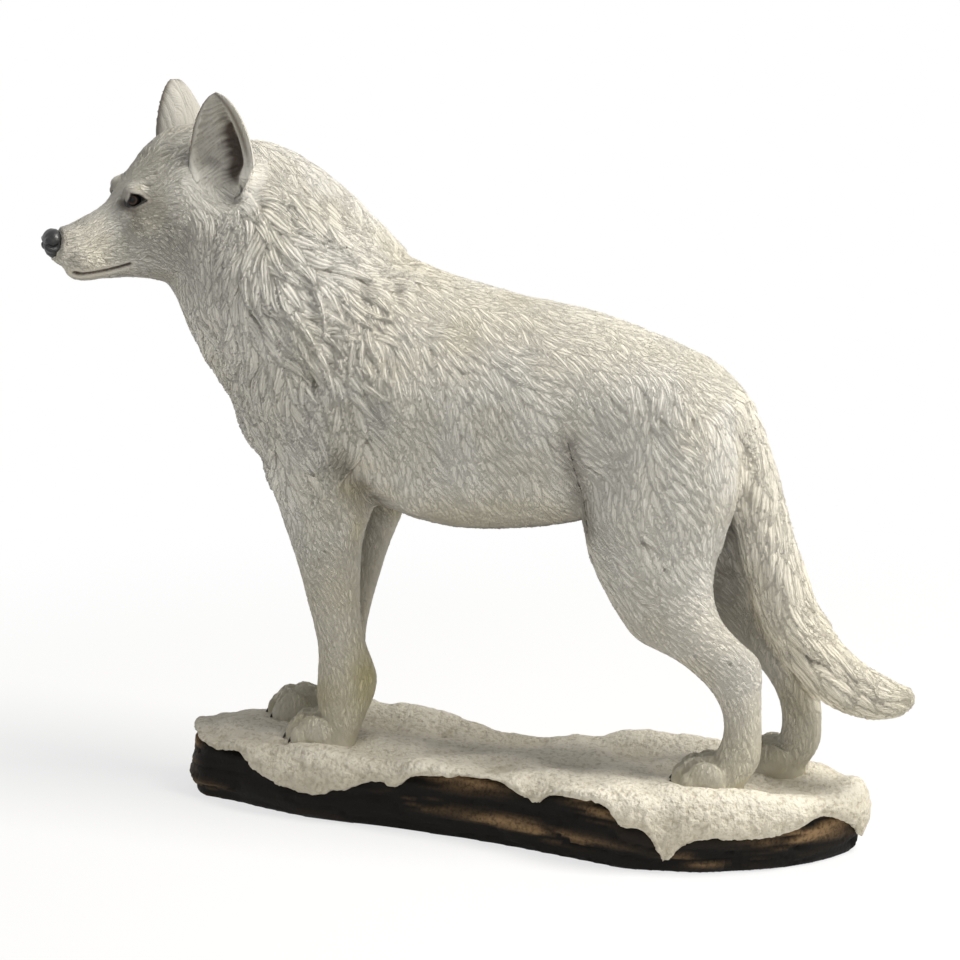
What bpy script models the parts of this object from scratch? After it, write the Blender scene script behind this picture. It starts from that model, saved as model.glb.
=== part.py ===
"""Standing wolf on a snow-covered log, a cold-cast resin figurine made as one solid.

The clay is modelled in millimetres and ends in metres, +Z up. The wolf faces -X and turns its head to
its left, towards -Y. The origin is on the flat underside. Each body form is a loft or an ellipsoid of
clay. A voxel remesh makes one skin of the clay, which is carved with locks of fur and then thinned out.
"""

import math
import random

import bmesh
import bpy
import numpy as np
from mathutils import Quaternion, Vector, kdtree, noise

MM = 0.001

# Log and snow
GROUND = 20.0
LOG_CROWN = 19.0
# Side of the log: height, distance in from its widest
LOG_SIDE = ((-2.0, 1.4), (1.0, 0.6), (5.0, -0.4), (11.0, -0.2), (15.5, 0.4), (LOG_CROWN, 2.0))
# Side of the snow: distance in from the plan, share of the height from its lower edge to its top
SNOW_SIDE = ((3.4, 0.06), (0.5, 0.0), (-0.5, 0.3), (0.0, 0.62), (1.5, 0.9), (3.6, 1.0))
SNOW_RINGS = (0.86, 0.7, 0.54, 0.38, 0.22, 0.06)
BARK_INSET = 2.2
BARE_END = -93.0
BARK_RELIEF = 0.7
BARK_EDGE = 6.0
SNOW_RIM = 2.2
SNOW_DRIFT = 0.9

# Stance: how far each pair of legs stands from the middle, and how deep the paws sit in the snow
FORE_SPREAD = 10.0
HIND_SPREAD = 11.0
PAW_SINK = 2.0
PAW_WIDTH = 14.0

# Head: where the skull joins the neck above the snow, and how far it is turned left and tilted
HEAD_JOINT = (-92.0, -4.0, 152.0)
HEAD_TURN = 45.0
HEAD_TILT = 5.0

# Ear, on the skull's axes: forward, to the side, up
EAR_FOOT = (4.6, 18.6, 5.5)
EAR_TIP = (8.8, 17.8, 36.0)
EAR_WIDTH = 19.0
EAR_DEPTH = 7.0
EAR_WALL = 2.0
EAR_OUTWARD = 62.0
EAR_HOLLOW_CENTRE = 0.41
EAR_HOLLOW_REACH = 0.52

# Fur: length, width and height of a carved lock
LOCKS = (
    (22.0, 7.6, 2.7),  # mane
    (15.0, 6.4, 1.5),  # coat
    (22.0, 7.0, 2.0),  # tail
)

LOCK_TURN = 0.4
LOCK_SINK = 0.5

# Where the fur changes: ahead of this the face has short hair, above this only the ears stand, in front
# of this it is mane, and behind this the tail begins; below these heights the legs have short hair
FACE_EDGE = 15.0
EAR_LINE = 168.0
MANE_EDGE = -32.0
CHEST_LINE = 120.0
TAIL_ROOT = 58.0
TAIL_REACH = 10.0
FORELEG_HAIR = 60.0
HINDLEG_HAIR = 50.0
SNOW_CLEARANCE = 12.0
HAIR_FADE = 9.0

# Mesh
CLAY_VOXEL = 0.85
BODY_SMOOTHING = 14
DETAIL_SMOOTHING = 1
LOCK_SMOOTHING = 1
TRIANGLE_BUDGET = 11500
DETAIL_BIAS = 0.0002
FACE_CENTRE = (28.0, 0.0, 2.0)
FACE_REACH = 52.0
PAW_REACH = 26.0
RING_POINTS = 28
SEED = 7

# Plan of the base, anticlockwise from the tail end: x, y, height of the snow's lower edge
PLAN = (
    (95, 9, 5), (91, 18, 9), (76, 22.5, 13), (58, 25.5, 8), (40, 27, 14), (22, 25, 17),
    (8, 23, 12), (-8, 22, 9), (-24, 22.5, 16), (-42, 26.5, 18), (-60, 28, 11), (-78, 25, 8),
    (-92, 18, 13), (-103.5, 6, 17), (-104.5, -5, 18), (-99, -14, 18), (-91, -17, 15), (-82, -19.8, 16.5),
    (-76, -21.3, 13), (-67, -23, 9.7), (-59, -24, 7.6), (-50, -24, 9.5), (-38, -23.5, 13.6),
    (-31, -23.5, 13.2), (-25, -23.7, 18), (-12, -24.2, 19), (2, -25.5, 19), (8, -26.3, 16),
    (12.5, -27, 14.4), (18, -27.8, 18), (32, -30, 19), (37, -30.8, 12.5), (43, -30, 11.8),
    (48.7, -28.6, 3.5), (54, -27.5, 8), (60, -25.5, 10), (72, -19, 10), (80, -13.5, 12),
    (87, -6.5, 13.8), (92.5, 1.5, 10.5),
)

# Heights of the wolf are measured from the snow that it stands on.
# Torso: x, belly, back, half width, height of the widest point
TORSO = (
    (-88, 97, 118, 8, 108),
    (-83, 86, 128, 16, 106),
    (-74, 76, 136, 21.5, 106),
    (-60, 70.5, 139.5, 24.5, 104),
    (-42, 69, 141, 24.5, 103),
    (-22, 65, 135.5, 23.5, 100),
    (-2, 66, 131, 22.5, 99),
    (16, 69.5, 128, 21, 101),
    (34, 76, 122.5, 20.5, 102),
    (48, 84, 117, 18.5, 102),
    (57, 90, 111, 14, 101),
    (63, 95, 105, 7, 100),
)

# Neck: centre x y z, lean of the slice from upright in degrees, to the nape, to the throat, half width
NECK = (
    (-101, -9, 149, 28, 20, 17, 12),
    (-97, -7, 149, 31, 27, 20, 16),
    (-91, -5, 145, 34, 31.5, 22.5, 19.5),
    (-82, -3, 138.5, 38, 33, 29, 22.5),
    (-70, -1, 126, 43, 34.5, 32.5, 24),
    (-60, 0, 115, 45, 34, 32, 23),
    (-50, 0, 106, 45, 26, 26, 18),
)

# Skull: forward, top, bottom, half width, height of the widest point, roundness of the upper half
SKULL = (
    (51.9, -6.2, -8.8, 1.8, -7.5, 2.0),
    (50.8, -4.8, -10.8, 3.4, -7.8, 2.2),
    (48.6, -3.9, -12.6, 4.2, -8.4, 2.4),
    (46.0, -3.3, -14.4, 4.6, -9.4, 2.4),
    (43.0, -2.3, -16.8, 5.3, -10.8, 2.3),
    (39.5, -0.4, -18.2, 6.1, -11.2, 2.1),
    (35.5, 1.6, -18.0, 7.2, -10.6, 2.0),
    (32.5, 4.0, -17.9, 8.4, -9.2, 1.9),
    (30.0, 7.2, -17.8, 9.8, -7.0, 2.2),
    (27.4, 10.6, -17.8, 11.2, -5.6, 2.3),
    (24.4, 14.4, -18.0, 12.8, -4.4, 2.2),
    (20.5, 19.4, -18.6, 14.8, -3.0, 2.0),
    (15.4, 22.8, -20.0, 16.8, -1.0, 2.0),
    (9.0, 24.4, -21.5, 18.2, -1.0, 2.0),
    (2.0, 23.6, -23.0, 19.0, -2.0, 2.0),
    (-6.0, 20.5, -23.0, 18.0, -1.0, 2.0),
    (-13.0, 14.0, -19.0, 13.0, 0.0, 2.0),
)

# Masses on both sides of the skull: centre and radii, forward, to the side, up
BROW = ((26.0, 7.6, 7.4), (4.2, 3.2, 3.0))
EYEBALL = ((27.4, 8.3, 4.4), (2.9, 2.1, 2.1))
CHEEKBONE = ((20.0, 10.0, -3.0), (10.0, 4.6, 7.0))
UPPER_LIP = ((37.5, 4.2, -11.8), (8.0, 3.2, 4.2))
RUFF = ((7.5, 15.4, -4.5), (8.0, 5.6, 12.0))
NOSE_PAD = ((48.7, 0, -7.4), (3.3, 4.0, 3.7))
CHIN = ((39.5, 0, -16.2), (5.6, 4.2, 2.4))
MOUTH = ((42.6, 2.6, -15.6), (40.0, 4.6, -15.4), (34.8, 6.6, -14.4), (29.6, 8.6, -12.6))
MOUTH_DEPTH = 0.9
MOUTH_WIDTH = 0.8

# Legs: height, front x, rear x, half width, how much further out than the paw
NEAR_FORELEG = (
    (-5, -57, -47.2, 4.8, 0),
    (1, -58.0, -46.4, 5.4, 0),
    (8, -59.6, -45.4, 5.8, 0),
    (14, -60.6, -43.8, 5.8, 0),
    (20, -60.4, -42.4, 5.8, 0),
    (26, -60.0, -44.2, 5.4, 0),
    (32, -60.6, -46.5, 5.2, 0),
    (40, -62.6, -47.6, 5.6, 0),
    (52, -65.8, -47.4, 6.6, 0),
    (62, -69.0, -46.4, 7.8, 0),
    (70, -71.4, -43.2, 9.0, 0.5),
    (80, -74.5, -40.0, 10.4, 1.5),
    (92, -77.0, -37.0, 11.0, 2.5),
    (106, -77.0, -38.0, 9.5, 3.0),
    (118, -70.0, -43.0, 6.5, 3.0),
)
FAR_FORELEG = (
    (-5, -71, -58.5, 5.0, 0),
    (2, -71.5, -57.8, 5.4, 0),
    (10, -69.8, -56.8, 5.6, 0),
    (16, -68.6, -54.8, 5.6, 0),
    (25, -68.4, -55.0, 5.3, 0),
    (32, -68.6, -54.0, 5.2, 0),
    (40, -69.0, -51.8, 5.6, 0),
    (47, -69.4, -49.6, 6.2, 0),
    (56, -70.0, -46.6, 7.2, 0),
    (66, -71.0, -42.6, 8.6, 0.5),
    (78, -74.0, -40.0, 10.2, 1.5),
    (92, -77.0, -37.0, 11.0, 2.5),
    (106, -77.0, -38.0, 9.5, 3.0),
    (118, -70.0, -43.0, 6.5, 3.0),
)
NEAR_HIND_LEG = (
    (-5, 56, 64, 4.6, 0),
    (0, 55.0, 65.2, 5.0, 0),
    (5, 55.4, 68.4, 5.0, 0),
    (10, 58.0, 70.5, 4.7, 0),
    (16, 60.2, 70.6, 4.4, 0),
    (22, 59.8, 70.4, 4.4, 0),
    (28, 56.4, 70.3, 4.7, 0),
    (33, 50.5, 70.2, 5.0, 0),
    (36.5, 44.5, 69.9, 5.4, 0),
    (39.5, 36.5, 67.0, 5.8, 0),
    (43, 32.5, 62.4, 6.3, 0),
    (48, 29.2, 58.2, 7.0, 0),
    (55, 25.0, 56.0, 8.2, -0.5),
    (63, 21.2, 56.8, 9.6, -1.0),
    (72, 19.2, 59.4, 10.8, -1.5),
    (82, 19.6, 61.8, 11.6, -2.0),
    (93, 24.0, 62.0, 11.8, -2.5),
    (104, 31.0, 58.0, 10.4, -3.0),
    (113, 38.0, 53.0, 7.0, -4.0),
)
FAR_HIND_LEG = (
    (-5, 67.5, 75.5, 4.6, 0),
    (0, 66.5, 76.8, 5.0, 0),
    (5, 67.0, 80.0, 5.0, 0),
    (10, 70.4, 82.0, 4.7, 0),
    (16, 71.0, 82.0, 4.4, 0),
    (22, 69.6, 81.6, 4.4, 0),
    (28, 65.8, 81.4, 4.7, 0),
    (33, 60.5, 81.0, 5.0, 0),
    (37, 54.5, 79.6, 5.4, 0),
    (41, 47.0, 76.0, 5.8, 0),
    (46, 41.0, 71.0, 6.5, 0),
    (53, 34.0, 66.5, 7.8, -0.5),
    (62, 28.0, 64.0, 9.4, -1.0),
    (72, 24.5, 63.6, 10.8, -1.5),
    (82, 24.0, 63.6, 11.6, -2.0),
    (93, 27.0, 62.6, 11.8, -2.5),
    (104, 33.0, 58.0, 10.4, -3.0),
    (113, 40.0, 53.0, 7.0, -4.0),
)

# Paws: tip of the toes and back of the pad, and the side
PAWS = (
    ((-71.4, -50.0), -FORE_SPREAD),
    ((-87.0, -63.0), FORE_SPREAD),
    ((45.2, 66.0), -HIND_SPREAD),
    ((57.5, 78.0), HIND_SPREAD),
)

# Tail: x, y, height of its middle, half thickness
TAIL = (
    (50, 0, 107, 6.0),
    (57, 0.5, 100, 7.0),
    (61.5, 1, 89, 7.4),
    (65, 1, 75, 7.8),
    (68.8, 1.5, 62, 8.2),
    (73.2, 1.5, 50.5, 8.2),
    (78.6, 2, 40.5, 8.2),
    (85.2, 2, 32.8, 7.8),
    (92.4, 2, 28.4, 7.2),
    (99.2, 2, 26.6, 6.2),
    (104.8, 2, 26.8, 4.4),
    (108.4, 2, 28.6, 2.0),
)


def clear_scene():
    """Removes what the file holds."""
    for old in list(bpy.data.objects):
        bpy.data.objects.remove(old)


def above_snow(x, y, z):
    """A point of the wolf, from its height above the snow."""
    return Vector((x, y, GROUND + z))


def smooth_rows(stations, steps, closed=False):
    """Rows on a Catmull-Rom curve through the stations."""
    rows = np.array(stations, float)
    if closed:
        padded = np.vstack([rows[-1], rows, rows[:2]])
    else:
        padded = np.vstack([2 * rows[0] - rows[1], rows, 2 * rows[-1] - rows[-2]])
    found = []
    for p0, p1, p2, p3 in zip(padded, padded[1:], padded[2:], padded[3:]):
        for t in np.arange(steps) / steps:
            bend = (2 * p0 - 5 * p1 + 4 * p2 - p3) * t**2 + (3 * p1 - p0 - 3 * p2 + p3) * t**3
            found.append((2 * p1 + (p2 - p0) * t + bend) / 2)
    if not closed:
        found.append(rows[-1])
    return found


def section(centre, side, up, half_width, above, below, upper=2.0, lower=2.0):
    """A ring round a centre: half a superellipse above it and half of another below it."""
    ring = []
    for k in range(RING_POINTS):
        angle = 2 * math.pi * k / RING_POINTS
        c, s = math.cos(angle), math.sin(angle)
        power, reach = (upper, above) if s > 0 else (lower, below)
        across = math.copysign(abs(c) ** (2 / power), c) * half_width
        along = math.copysign(abs(s) ** (2 / power), s) * reach
        ring.append(centre + side * across + up * along)
    return ring


def loft(clay, rings):
    """Adds a closed skin over the rings."""
    corners = [[clay.verts.new(point) for point in ring] for ring in rings]
    count = len(corners[0])
    for low, high in zip(corners, corners[1:]):
        for k in range(count):
            clay.faces.new((low[k], low[(k + 1) % count], high[(k + 1) % count], high[k]))
    clay.faces.new(reversed(corners[0]))
    clay.faces.new(corners[-1])


def ellipsoid(clay, centre, radii, axes=(Vector((1, 0, 0)), Vector((0, 1, 0)), Vector((0, 0, 1)))):
    """Adds an ellipsoid with its radii along the three axes."""
    made = bmesh.ops.create_uvsphere(clay, u_segments=24, v_segments=14, radius=1.0)["verts"]
    for vert in made:
        vert.co = centre + sum((axis * (part * r) for axis, part, r in zip(axes, vert.co, radii)), Vector())


def head_axes():
    """The skull's forward, left and up directions."""
    turn, tilt = math.radians(HEAD_TURN), math.radians(HEAD_TILT)
    forward = Vector((-math.cos(turn), -math.sin(turn), 0))
    level = Vector((math.sin(turn), -math.cos(turn), 0))
    up = Vector((0, 0, 1))
    left = level * math.cos(tilt) - up * math.sin(tilt)
    return forward, left, up * math.cos(tilt) + level * math.sin(tilt)


def on_head(ahead, aside, high):
    """A point of the skull, from its own axes."""
    forward, left, up = head_axes()
    return above_snow(*HEAD_JOINT) + forward * ahead + left * aside + up * high


def add_torso(clay):
    """Ribcage, belly and rump, sliced across the spine."""
    side, up = Vector((0, 1, 0)), Vector((0, 0, 1))
    rings = []
    for x, belly, back, half_width, widest in smooth_rows(TORSO, 4):
        centre = above_snow(x, 0, widest)
        rings.append(section(centre, side, up, half_width, back - widest, widest - belly, 1.9, 2.1))
    loft(clay, rings)


def add_neck(clay):
    """Neck and mane, sliced across a line that leans forward out of the shoulders."""
    rings = []
    for x, y, z, lean, nape, throat, half_width in smooth_rows(NECK, 4):
        up = Vector((math.sin(math.radians(lean)), 0, math.cos(math.radians(lean))))
        rings.append(section(above_snow(x, y, z), Vector((0, 1, 0)), up, half_width, nape, throat, 1.8, 1.9))
    loft(clay, rings)


def add_skull(clay):
    """Muzzle, brow and cranium, sliced across the forward axis."""
    _, left, up = head_axes()
    rings = []
    for ahead, top, bottom, half_width, widest, upper in smooth_rows(SKULL, 4):
        centre = on_head(ahead, 0, widest)
        rings.append(section(centre, left, up, half_width, top - widest, widest - bottom, upper, 2.3))
    loft(clay, rings)


def add_leg(clay, stations, spread, outward):
    """One leg in level slices. Outward is -1 on the left and 1 on the right."""
    lengthways, side = Vector((1, 0, 0)), Vector((0, 1, 0))
    rings = []
    for z, front, rear, half_width, further in smooth_rows(stations, 3):
        centre = above_snow((front + rear) / 2, outward * (spread + further), z)
        half = (rear - front) / 2
        rings.append(section(centre, lengthways, side, half, half_width, half_width, 2.1, 2.1))
    loft(clay, rings)


def add_tail(clay):
    """The brush of the tail, sliced across its own curve."""
    rows = smooth_rows(TAIL, 3)
    side = Vector((0, 1, 0))
    rings = []
    for i, (x, y, z, half) in enumerate(rows):
        before, after = rows[max(i - 1, 0)], rows[min(i + 1, len(rows) - 1)]
        along = Vector((after[0] - before[0], 0, after[2] - before[2])).normalized()
        rings.append(section(above_snow(x, y, z), side, side.cross(along), half * 0.88, half, half))
    loft(clay, rings)


def add_masses(clay, pairs, single):
    """Ellipsoids on both sides of the skull, and one in its middle."""
    axes = head_axes()
    for (ahead, aside, high), radii in pairs:
        for sign in (1, -1):
            ellipsoid(clay, on_head(ahead, aside * sign, high), radii, axes)
    ellipsoid(clay, on_head(*single[0]), single[1], axes)


def ear_frame(sign):
    """The middle of one ear, and its directions across, up the stem and out of its hollow."""
    forward, left, _ = head_axes()
    foot = on_head(EAR_FOOT[0], EAR_FOOT[1] * sign, EAR_FOOT[2])
    tip = on_head(EAR_TIP[0], EAR_TIP[1] * sign, EAR_TIP[2])
    stem = (tip - foot).normalized()
    turn = math.radians(EAR_OUTWARD)
    mouth = forward * math.cos(turn) + left * math.sin(turn) * sign
    mouth = (mouth - stem * mouth.dot(stem)).normalized()
    return foot, tip, stem.cross(mouth), stem, mouth


def ear_outline(t):
    """Half-width of the ear as a share of its widest, from its foot to its tip."""
    return min(1.0, 0.45 + 1.6 * t) * max(0.0, 1 - max(0.0, (t - 0.35) / 0.65) ** 2.2) ** 0.6


def add_ear(clay, sign):
    """One ear: a leaf, flat in front and round behind. The sign is 1 on the left."""
    foot, tip, across, _, mouth = ear_frame(sign)
    rings = []
    for step in range(15):
        t = step / 14
        share = ear_outline(t)
        centre = foot + (tip - foot) * t
        half_width, behind = EAR_WIDTH / 2 * share + 0.4, EAR_DEPTH * share + 0.5
        rings.append(section(centre, across, mouth, half_width, 0.7, behind))
    loft(clay, rings)


def ear_hollow(sign):
    """The space inside one ear, which opens out of the side of the head."""
    foot, tip, across, stem, mouth = ear_frame(sign)
    space = bmesh.new()
    middle = foot + (tip - foot) * EAR_HOLLOW_CENTRE + mouth * 0.6
    radii = (EAR_WIDTH / 2 - EAR_WALL, (tip - foot).length * EAR_HOLLOW_REACH, EAR_DEPTH - EAR_WALL + 0.6)
    ellipsoid(space, middle, radii, (across, stem, mouth))
    bmesh.ops.recalc_face_normals(space, faces=space.faces[:])
    return space


def add_paw(clay, toes, heel, y):
    """One paw with four toes that point to -X, pressed a little into the snow."""
    floor = -PAW_SINK
    length = heel - toes
    ellipsoid(clay, above_snow(heel - length * 0.38, y, floor + 3.0), (length * 0.42, PAW_WIDTH * 0.46, 8.2))
    for k, set_back in enumerate((2.8, 0.0, 0.2, 3.2)):
        toe_y = y + (k - 1.5) * PAW_WIDTH * 0.275
        tip = toes + set_back
        ellipsoid(clay, above_snow(tip + 3.6, toe_y, floor + 3.6), (3.6, PAW_WIDTH * 0.13, 4.0))
        ellipsoid(clay, above_snow(tip + 7.4, toe_y, floor + 6.2), (5.4, PAW_WIDTH * 0.125, 4.4))


def plan_rows():
    """The plan of the base as close-set rows of x, y and hem height, with the way out of each."""
    rows = np.array(smooth_rows(PLAN, 3, closed=True))
    along = np.roll(rows, -1, axis=0)[:, :2] - np.roll(rows, 1, axis=0)[:, :2]
    along /= np.linalg.norm(along, axis=1)[:, None]
    return rows, np.stack([along[:, 1], -along[:, 0]], axis=1)


def snow_top(x, y):
    """Height of the snow above the place where the wolf stands."""
    rim = SNOW_RIM * min(1.0, max(0.0, (abs(y) - 14) / 9))
    drift = noise.noise(Vector((x * 0.035, y * 0.06, 1.7)))
    bumps = noise.noise(Vector((x * 0.1, y * 0.13, 5.3)))
    return rim + (drift + 0.6 * bumps) * SNOW_DRIFT


def add_log(clay):
    """The log under the snow, rounded in towards its underside and its crown."""
    rows, out = plan_rows()
    # The sawn face at the head end reaches out past the snow.
    behind = BARK_INSET * np.clip((rows[:, 0] - BARE_END) / 12 + 0.3, 0.1, 1)
    rings = []
    for level, inset in LOG_SIDE:
        edge = rows[:, :2] - out * (behind + inset)[:, None]
        rings.append([Vector((x, y, level)) for x, y in edge])
    loft(clay, rings)


def add_snow(clay):
    """The snow: a bumpy top that rolls over the edge and hangs down in lobes."""
    rows, out = plan_rows()
    rings = []
    for inset, share in SNOW_SIDE:
        ring = []
        for (x, y, hem), (away_x, away_y) in zip(rows, out):
            x, y = x - away_x * inset, y - away_y * inset
            top = GROUND + snow_top(x, y)
            ring.append(Vector((x, y, hem + (top - hem) * share)))
        rings.append(ring)
    edge = rows[:, :2] - out * SNOW_SIDE[-1][0]
    for share in SNOW_RINGS:
        spots = edge * share
        rings.append([Vector((x, y, GROUND + snow_top(x, y))) for x, y in spots])
    loft(clay, rings)


def cut_away(mesh, space):
    """The mesh with the space cut out of it."""
    whole = bpy.data.objects.new("whole", mesh)
    cutter = bpy.data.objects.new("cutter", bpy.data.meshes.new("cutter"))
    space.to_mesh(cutter.data)
    space.free()
    for obj in (whole, cutter):
        bpy.context.scene.collection.objects.link(obj)
    cutter.hide_render = True
    cutter.display_type = "WIRE"
    cut = whole.modifiers.new("cut", "BOOLEAN")
    cut.operation = "DIFFERENCE"
    cut.object = cutter
    left = bpy.data.meshes.new_from_object(whole.evaluated_get(bpy.context.evaluated_depsgraph_get()))
    bpy.data.objects.remove(whole)
    bpy.data.objects.remove(cutter)
    return left


def one_skin(clay, smoothing):
    """The clay as the mesh of one skin, without inner faces."""
    mesh = bpy.data.meshes.new("clay")
    clay.to_mesh(mesh)
    clay.free()
    rough = bpy.data.objects.new("clay", mesh)
    bpy.context.scene.collection.objects.link(rough)
    remesh = rough.modifiers.new("one_skin", "REMESH")
    remesh.mode = "VOXEL"
    remesh.voxel_size = CLAY_VOXEL
    smooth = rough.modifiers.new("blend_joins", "SMOOTH")
    smooth.factor = 0.5
    smooth.iterations = smoothing
    skin = bpy.data.meshes.new_from_object(rough.evaluated_get(bpy.context.evaluated_depsgraph_get()))
    bpy.data.objects.remove(rough)
    return skin


def fur_map(places):
    """At each place: the kind of lock, the way that it lies, and its share of the full relief."""
    x, y, z = places[:, 0], places[:, 1], places[:, 2] - GROUND
    kind = np.where(x < MANE_EDGE, 0, 1)
    flow = np.where((x < MANE_EDGE)[:, None], (0.3, 0, -1.0), (0.6, 0, -0.8))
    rows = np.array(smooth_rows(TAIL, 3))
    gaps = np.hypot(x[:, None] - rows[1:, 0], z[:, None] - rows[1:, 2])
    nearest = gaps.argmin(axis=1)
    on_tail = (x > TAIL_ROOT) & (gaps.min(axis=1) < TAIL_REACH) & (np.abs(y) < TAIL_REACH)
    kind[on_tail] = 2
    flow[on_tail] = (np.diff(rows[:, :3], axis=0) * (1, 0, 1))[nearest[on_tail]]
    ahead = (places - np.array(on_head(0, 0, 0))) @ np.array(head_axes()[0])
    from_leg = np.where(on_tail, z - SNOW_CLEARANCE, z - np.where(x < 0, FORELEG_HAIR, HINDLEG_HAIR))
    from_face = np.where(z > CHEST_LINE, np.minimum(FACE_EDGE - ahead, EAR_LINE - z), HAIR_FADE)
    share = np.clip(np.minimum(from_leg, from_face) / HAIR_FADE, 0, 1)
    return kind, flow, share


def lock_height(along, across, size, phase):
    """Relief of one lock at points along and across it. It wavers, and narrows to its tip."""
    length, width, height = size
    t = np.clip(along / length, 1e-4, 1 - 1e-4)
    waver = width * 0.4 * np.sin(2 * math.pi * t + phase) * t**0.5
    half = width / 2 * np.sin(math.pi * t**0.75) ** 0.7 + 0.2
    profile = np.clip(1 - ((across - waver) / half) ** 2, 0, None)
    inside = (along > 0) & (along < length)
    return np.where(inside, height * profile**0.6 * (0.3 + 0.7 * t) * (1 - t**5), 0)


def read_vectors(skin, name):
    """One vector of each vertex of the skin, as rows."""
    flat = np.empty(len(skin.vertices) * 3, np.float32)
    skin.vertices.foreach_get(name, flat)
    return flat.reshape(-1, 3)


def carve_fur(skin):
    """Raises locks of fur on the mane, the flanks, the haunches and the tail, out of a skin sunk to suit."""
    chance = random.Random(SEED)
    places, normals = read_vectors(skin, "co"), read_vectors(skin, "normal")
    tree = kdtree.KDTree(len(places))
    for i, place in enumerate(places):
        tree.insert(place, i)
    tree.balance()
    kinds, flows, share = fur_map(places)
    relief = np.zeros(len(places))
    taken = share == 0
    order = np.flatnonzero(~taken).tolist()
    chance.shuffle(order)
    for i in order:
        if taken[i]:
            continue
        size, flow = LOCKS[kinds[i]], Vector(flows[i])
        normal = Vector(normals[i])
        flow = (flow - normal * flow.dot(normal)).normalized()
        flow.rotate(Quaternion(normal, chance.uniform(-LOCK_TURN, LOCK_TURN)))
        near = np.array([found[1] for found in tree.find_range(places[i], size[0])])
        gap = places[near] - places[i]
        along, across = gap @ np.array(flow), gap @ np.array(normal.cross(flow))
        taken[near[(np.abs(along) < size[0] * 0.4) & (np.abs(across) < size[1] * 0.45)]] = True
        raised = lock_height(along + size[0] * 0.4, across, size, chance.uniform(0, 2 * math.pi))
        raised[normals[near] @ np.array(normal) < 0.2] = 0
        relief[near] = np.maximum(relief[near], raised)
    sunk = LOCK_SINK * np.array([size[2] for size in LOCKS])[kinds]
    return places + normals * ((relief - sunk) * share)[:, None]


def carve_mouth(places, normals):
    """Presses the line of the mouth into both sides of the muzzle."""
    for sign in (1, -1):
        line = [on_head(ahead, aside * sign, high) for ahead, aside, high in smooth_rows(MOUTH, 6)]
        for point in line:
            distance = np.linalg.norm(places - np.array(point), axis=1)
            pressed = 0.25 * MOUTH_DEPTH * np.exp(-((distance / MOUTH_WIDTH) ** 2))
            places -= normals * pressed[:, None]


def carve_bark(places, normals):
    """Furrows the side of the log along its length, below the snow."""
    rows, _ = plan_rows()
    tree = kdtree.KDTree(len(rows))
    for i, (x, y, _) in enumerate(rows):
        tree.insert((x, y, 0), i)
    tree.balance()
    for i in np.flatnonzero((places[:, 2] < LOG_CROWN) & (np.abs(normals[:, 2]) < 0.8)):
        x, y, z = (float(part) for part in places[i])
        _, row, distance = tree.find((x, y, 0))
        if distance > BARK_EDGE or z > rows[row][2] - 0.4:
            continue
        furrow = noise.noise(Vector((x * 0.035, y * 0.035, z * 0.42)))
        crack = noise.noise(Vector((x * 0.1, y * 0.1, z)))
        places[i] += normals[i] * BARK_RELIEF * (furrow + 0.5 * crack)


def detail_weights(obj):
    """Marks the head and the paws, which keep more of their faces when the skin is thinned."""
    group = obj.vertex_groups.new(name="fine")
    marks = [(on_head(*FACE_CENTRE), FACE_REACH)]
    for (toes, heel), y in PAWS:
        marks.append((above_snow((toes + heel) / 2, y, 0), PAW_REACH))
    for vert in obj.data.vertices:
        closeness = max(1 - (vert.co - centre).length / reach for centre, reach in marks)
        if closeness > 0:
            group.add([vert.index], min(0.9, closeness * 2), "REPLACE")
    return group.name


def thinned(name, skin):
    """The skin with its faces thinned out to the budget, as an object that stands on a flat face."""
    obj = bpy.data.objects.new(name, skin)
    bpy.context.scene.collection.objects.link(obj)
    skin.calc_loop_triangles()
    soften = obj.modifiers.new("soften_locks", "SMOOTH")
    soften.factor = 0.5
    soften.iterations = LOCK_SMOOTHING
    thin = obj.modifiers.new("thin_out", "DECIMATE")
    thin.ratio = min(1.0, TRIANGLE_BUDGET / len(skin.loop_triangles))
    thin.use_collapse_triangulate = True
    thin.vertex_group = detail_weights(obj)
    thin.invert_vertex_group = True
    thin.vertex_group_factor = DETAIL_BIAS
    mesh = bpy.data.meshes.new_from_object(obj.evaluated_get(bpy.context.evaluated_depsgraph_get()))
    obj.modifiers.clear()
    obj.vertex_groups.clear()
    solid = bmesh.new()
    solid.from_mesh(mesh)
    whole = solid.verts[:] + solid.edges[:] + solid.faces[:]
    downward = (0, 0, -1)
    bmesh.ops.bisect_plane(
        solid, geom=whole, dist=1e-6, plane_co=(0, 0, 0), plane_no=downward, clear_outer=True
    )
    bmesh.ops.holes_fill(solid, edges=[edge for edge in solid.edges if edge.is_boundary])
    bmesh.ops.triangulate(solid, faces=solid.faces[:])
    bmesh.ops.recalc_face_normals(solid, faces=solid.faces[:])
    bmesh.ops.scale(solid, vec=(MM, MM, MM), verts=solid.verts[:])
    solid.to_mesh(mesh)
    solid.free()
    obj.data = mesh
    return obj


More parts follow.
